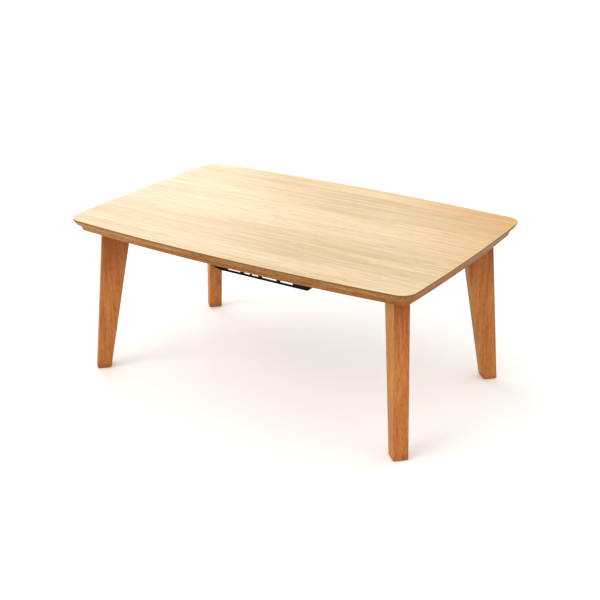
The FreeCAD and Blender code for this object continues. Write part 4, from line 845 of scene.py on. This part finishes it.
class LOWTABLE_OT_set_stage(bpy.types.Operator):
    """Set the pale floor, the soft lights and the camera"""
    bl_idname = "low_table.set_stage"
    bl_label = "Set stage"

    def execute(self, context):
        scene = context.scene
        looks = scene.low_table_stage
        reach = 20.0
        mesh = bpy.data.meshes.new("stage_floor")
        corners = [(-reach, -reach, 0), (reach, -reach, 0), (reach, reach, 0), (-reach, reach, 0)]
        mesh.from_pydata(corners, [], [(0, 1, 2, 3)])
        made, tree, shader, place = start("backlit_white_acrylic")
        # Opal acrylic sheet, lit a little from below: even white with a barely seen mottle.
        mottle = add(tree, "ShaderNodeTexNoise", {"Vector": place, "Scale": 2.0, "Detail": 2.0})
        shade = tuple(c * 0.985 for c in looks.floor[:3]) + (1.0,)
        shown = add(tree, "ShaderNodeValToRGB", {0: mottle.outputs[0]},
                    stops=[(0.3, shade), (0.7, tuple(looks.floor))])
        wire(tree, shader, {"Base Color": shown.outputs[0], "Roughness": 0.9,
                            "Emission Color": shown.outputs[0], "Emission Strength": looks.glow})
        mesh.materials.append(made)
        floor = bpy.data.objects.new("stage_floor", mesh)
        scene.collection.objects.link(floor)

        world = bpy.data.worlds.new("plain_studio")
        scene.world = world
        world.use_nodes = True
        background = world.node_tree.nodes["Background"]
        background.inputs["Color"].default_value = (1.0, 1.0, 1.0, 1.0)
        background.inputs["Strength"].default_value = looks.sky
        broad = bpy.data.lights.new("key_light", "SUN")
        broad.energy = looks.key
        broad.angle = looks.key_width
        broad.color = linear("#fff8f0")[:3]
        key = bpy.data.objects.new("key_light", broad)
        heading = Vector((0.38, 0.7, -0.6))
        key.rotation_euler = heading.to_track_quat("-Z", "Y").to_euler()
        scene.collection.objects.link(key)
        soft_light("sheen_light", place=(-3.0, 2.1, 1.3), size=2.6, power=looks.sheen, shade="#fffdf8")
        soft_light("fill_light", place=(2.0, -3.2, 2.8), size=2.0, power=looks.fill, shade="#f8fbff")

        camera = bpy.data.objects.new("camera", bpy.data.cameras.new("camera"))
        camera.data.sensor_width = 36
        camera.data.lens = looks.lens
        camera.data.shift_x, camera.data.shift_y = looks.shift
        camera.data.clip_end = 100
        camera.location = looks.camera
        level = math.cos(looks.elevation)
        ahead = Vector((-math.sin(looks.azimuth) * level, math.cos(looks.azimuth) * level,
                        -math.sin(looks.elevation)))
        camera.rotation_mode = "QUATERNION"
        camera.rotation_quaternion = ahead.to_track_quat("-Z", "Y")
        scene.collection.objects.link(camera)
        scene.camera = camera
        scene.view_settings.view_transform = "Standard"
        return {"FINISHED"}


class LOWTABLE_PT_sidebar(bpy.types.Panel):
    bl_label = "Low table"
    bl_idname = "LOWTABLE_PT_sidebar"
    bl_space_type = "VIEW_3D"
    bl_region_type = "UI"
    bl_category = "Low table"

    def draw(self, context):
        for operator in OPERATORS:
            self.layout.operator(operator.bl_idname)
        for attribute, group in SETTINGS.items():
            box = self.layout.box()
            settings = getattr(context.scene, attribute)
            for name in group.__annotations__:
                box.prop(settings, name)


SETTINGS = {
    "low_table_top": TopSettings,
    "low_table_wood": WoodSettings,
    "low_table_pads": PadSettings,
    "low_table_heater": HeaterSettings,
    "low_table_stage": StageSettings,
}
OPERATORS = (
    LOWTABLE_OT_set_stage,
    LOWTABLE_OT_finish_top,
    LOWTABLE_OT_finish_frame,
    LOWTABLE_OT_finish_legs,
    LOWTABLE_OT_felt_glides,
    LOWTABLE_OT_rubber_pads,
    LOWTABLE_OT_finish_fastenings,
    LOWTABLE_OT_finish_heater_case,
    LOWTABLE_OT_finish_heater_inside,
    LOWTABLE_OT_carbon_strips,
    LOWTABLE_OT_fibre_blanket,
)


def register():
    for group in SETTINGS.values():
        bpy.utils.register_class(group)
    for attribute, group in SETTINGS.items():
        setattr(bpy.types.Scene, attribute, PointerProperty(type=group))
    for operator in OPERATORS:
        bpy.utils.register_class(operator)
    bpy.utils.register_class(LOWTABLE_PT_sidebar)


def unregister():
    bpy.utils.unregister_class(LOWTABLE_PT_sidebar)
    for operator in reversed(OPERATORS):
        bpy.utils.unregister_class(operator)
    for attribute, group in SETTINGS.items():
        delattr(bpy.types.Scene, attribute)
        bpy.utils.unregister_class(group)


def main():
    register()
    for operator in OPERATORS:
        module, name = operator.bl_idname.split(".")
        getattr(getattr(bpy.ops, module), name)()
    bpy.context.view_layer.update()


if __name__ == "__main__":
    main()
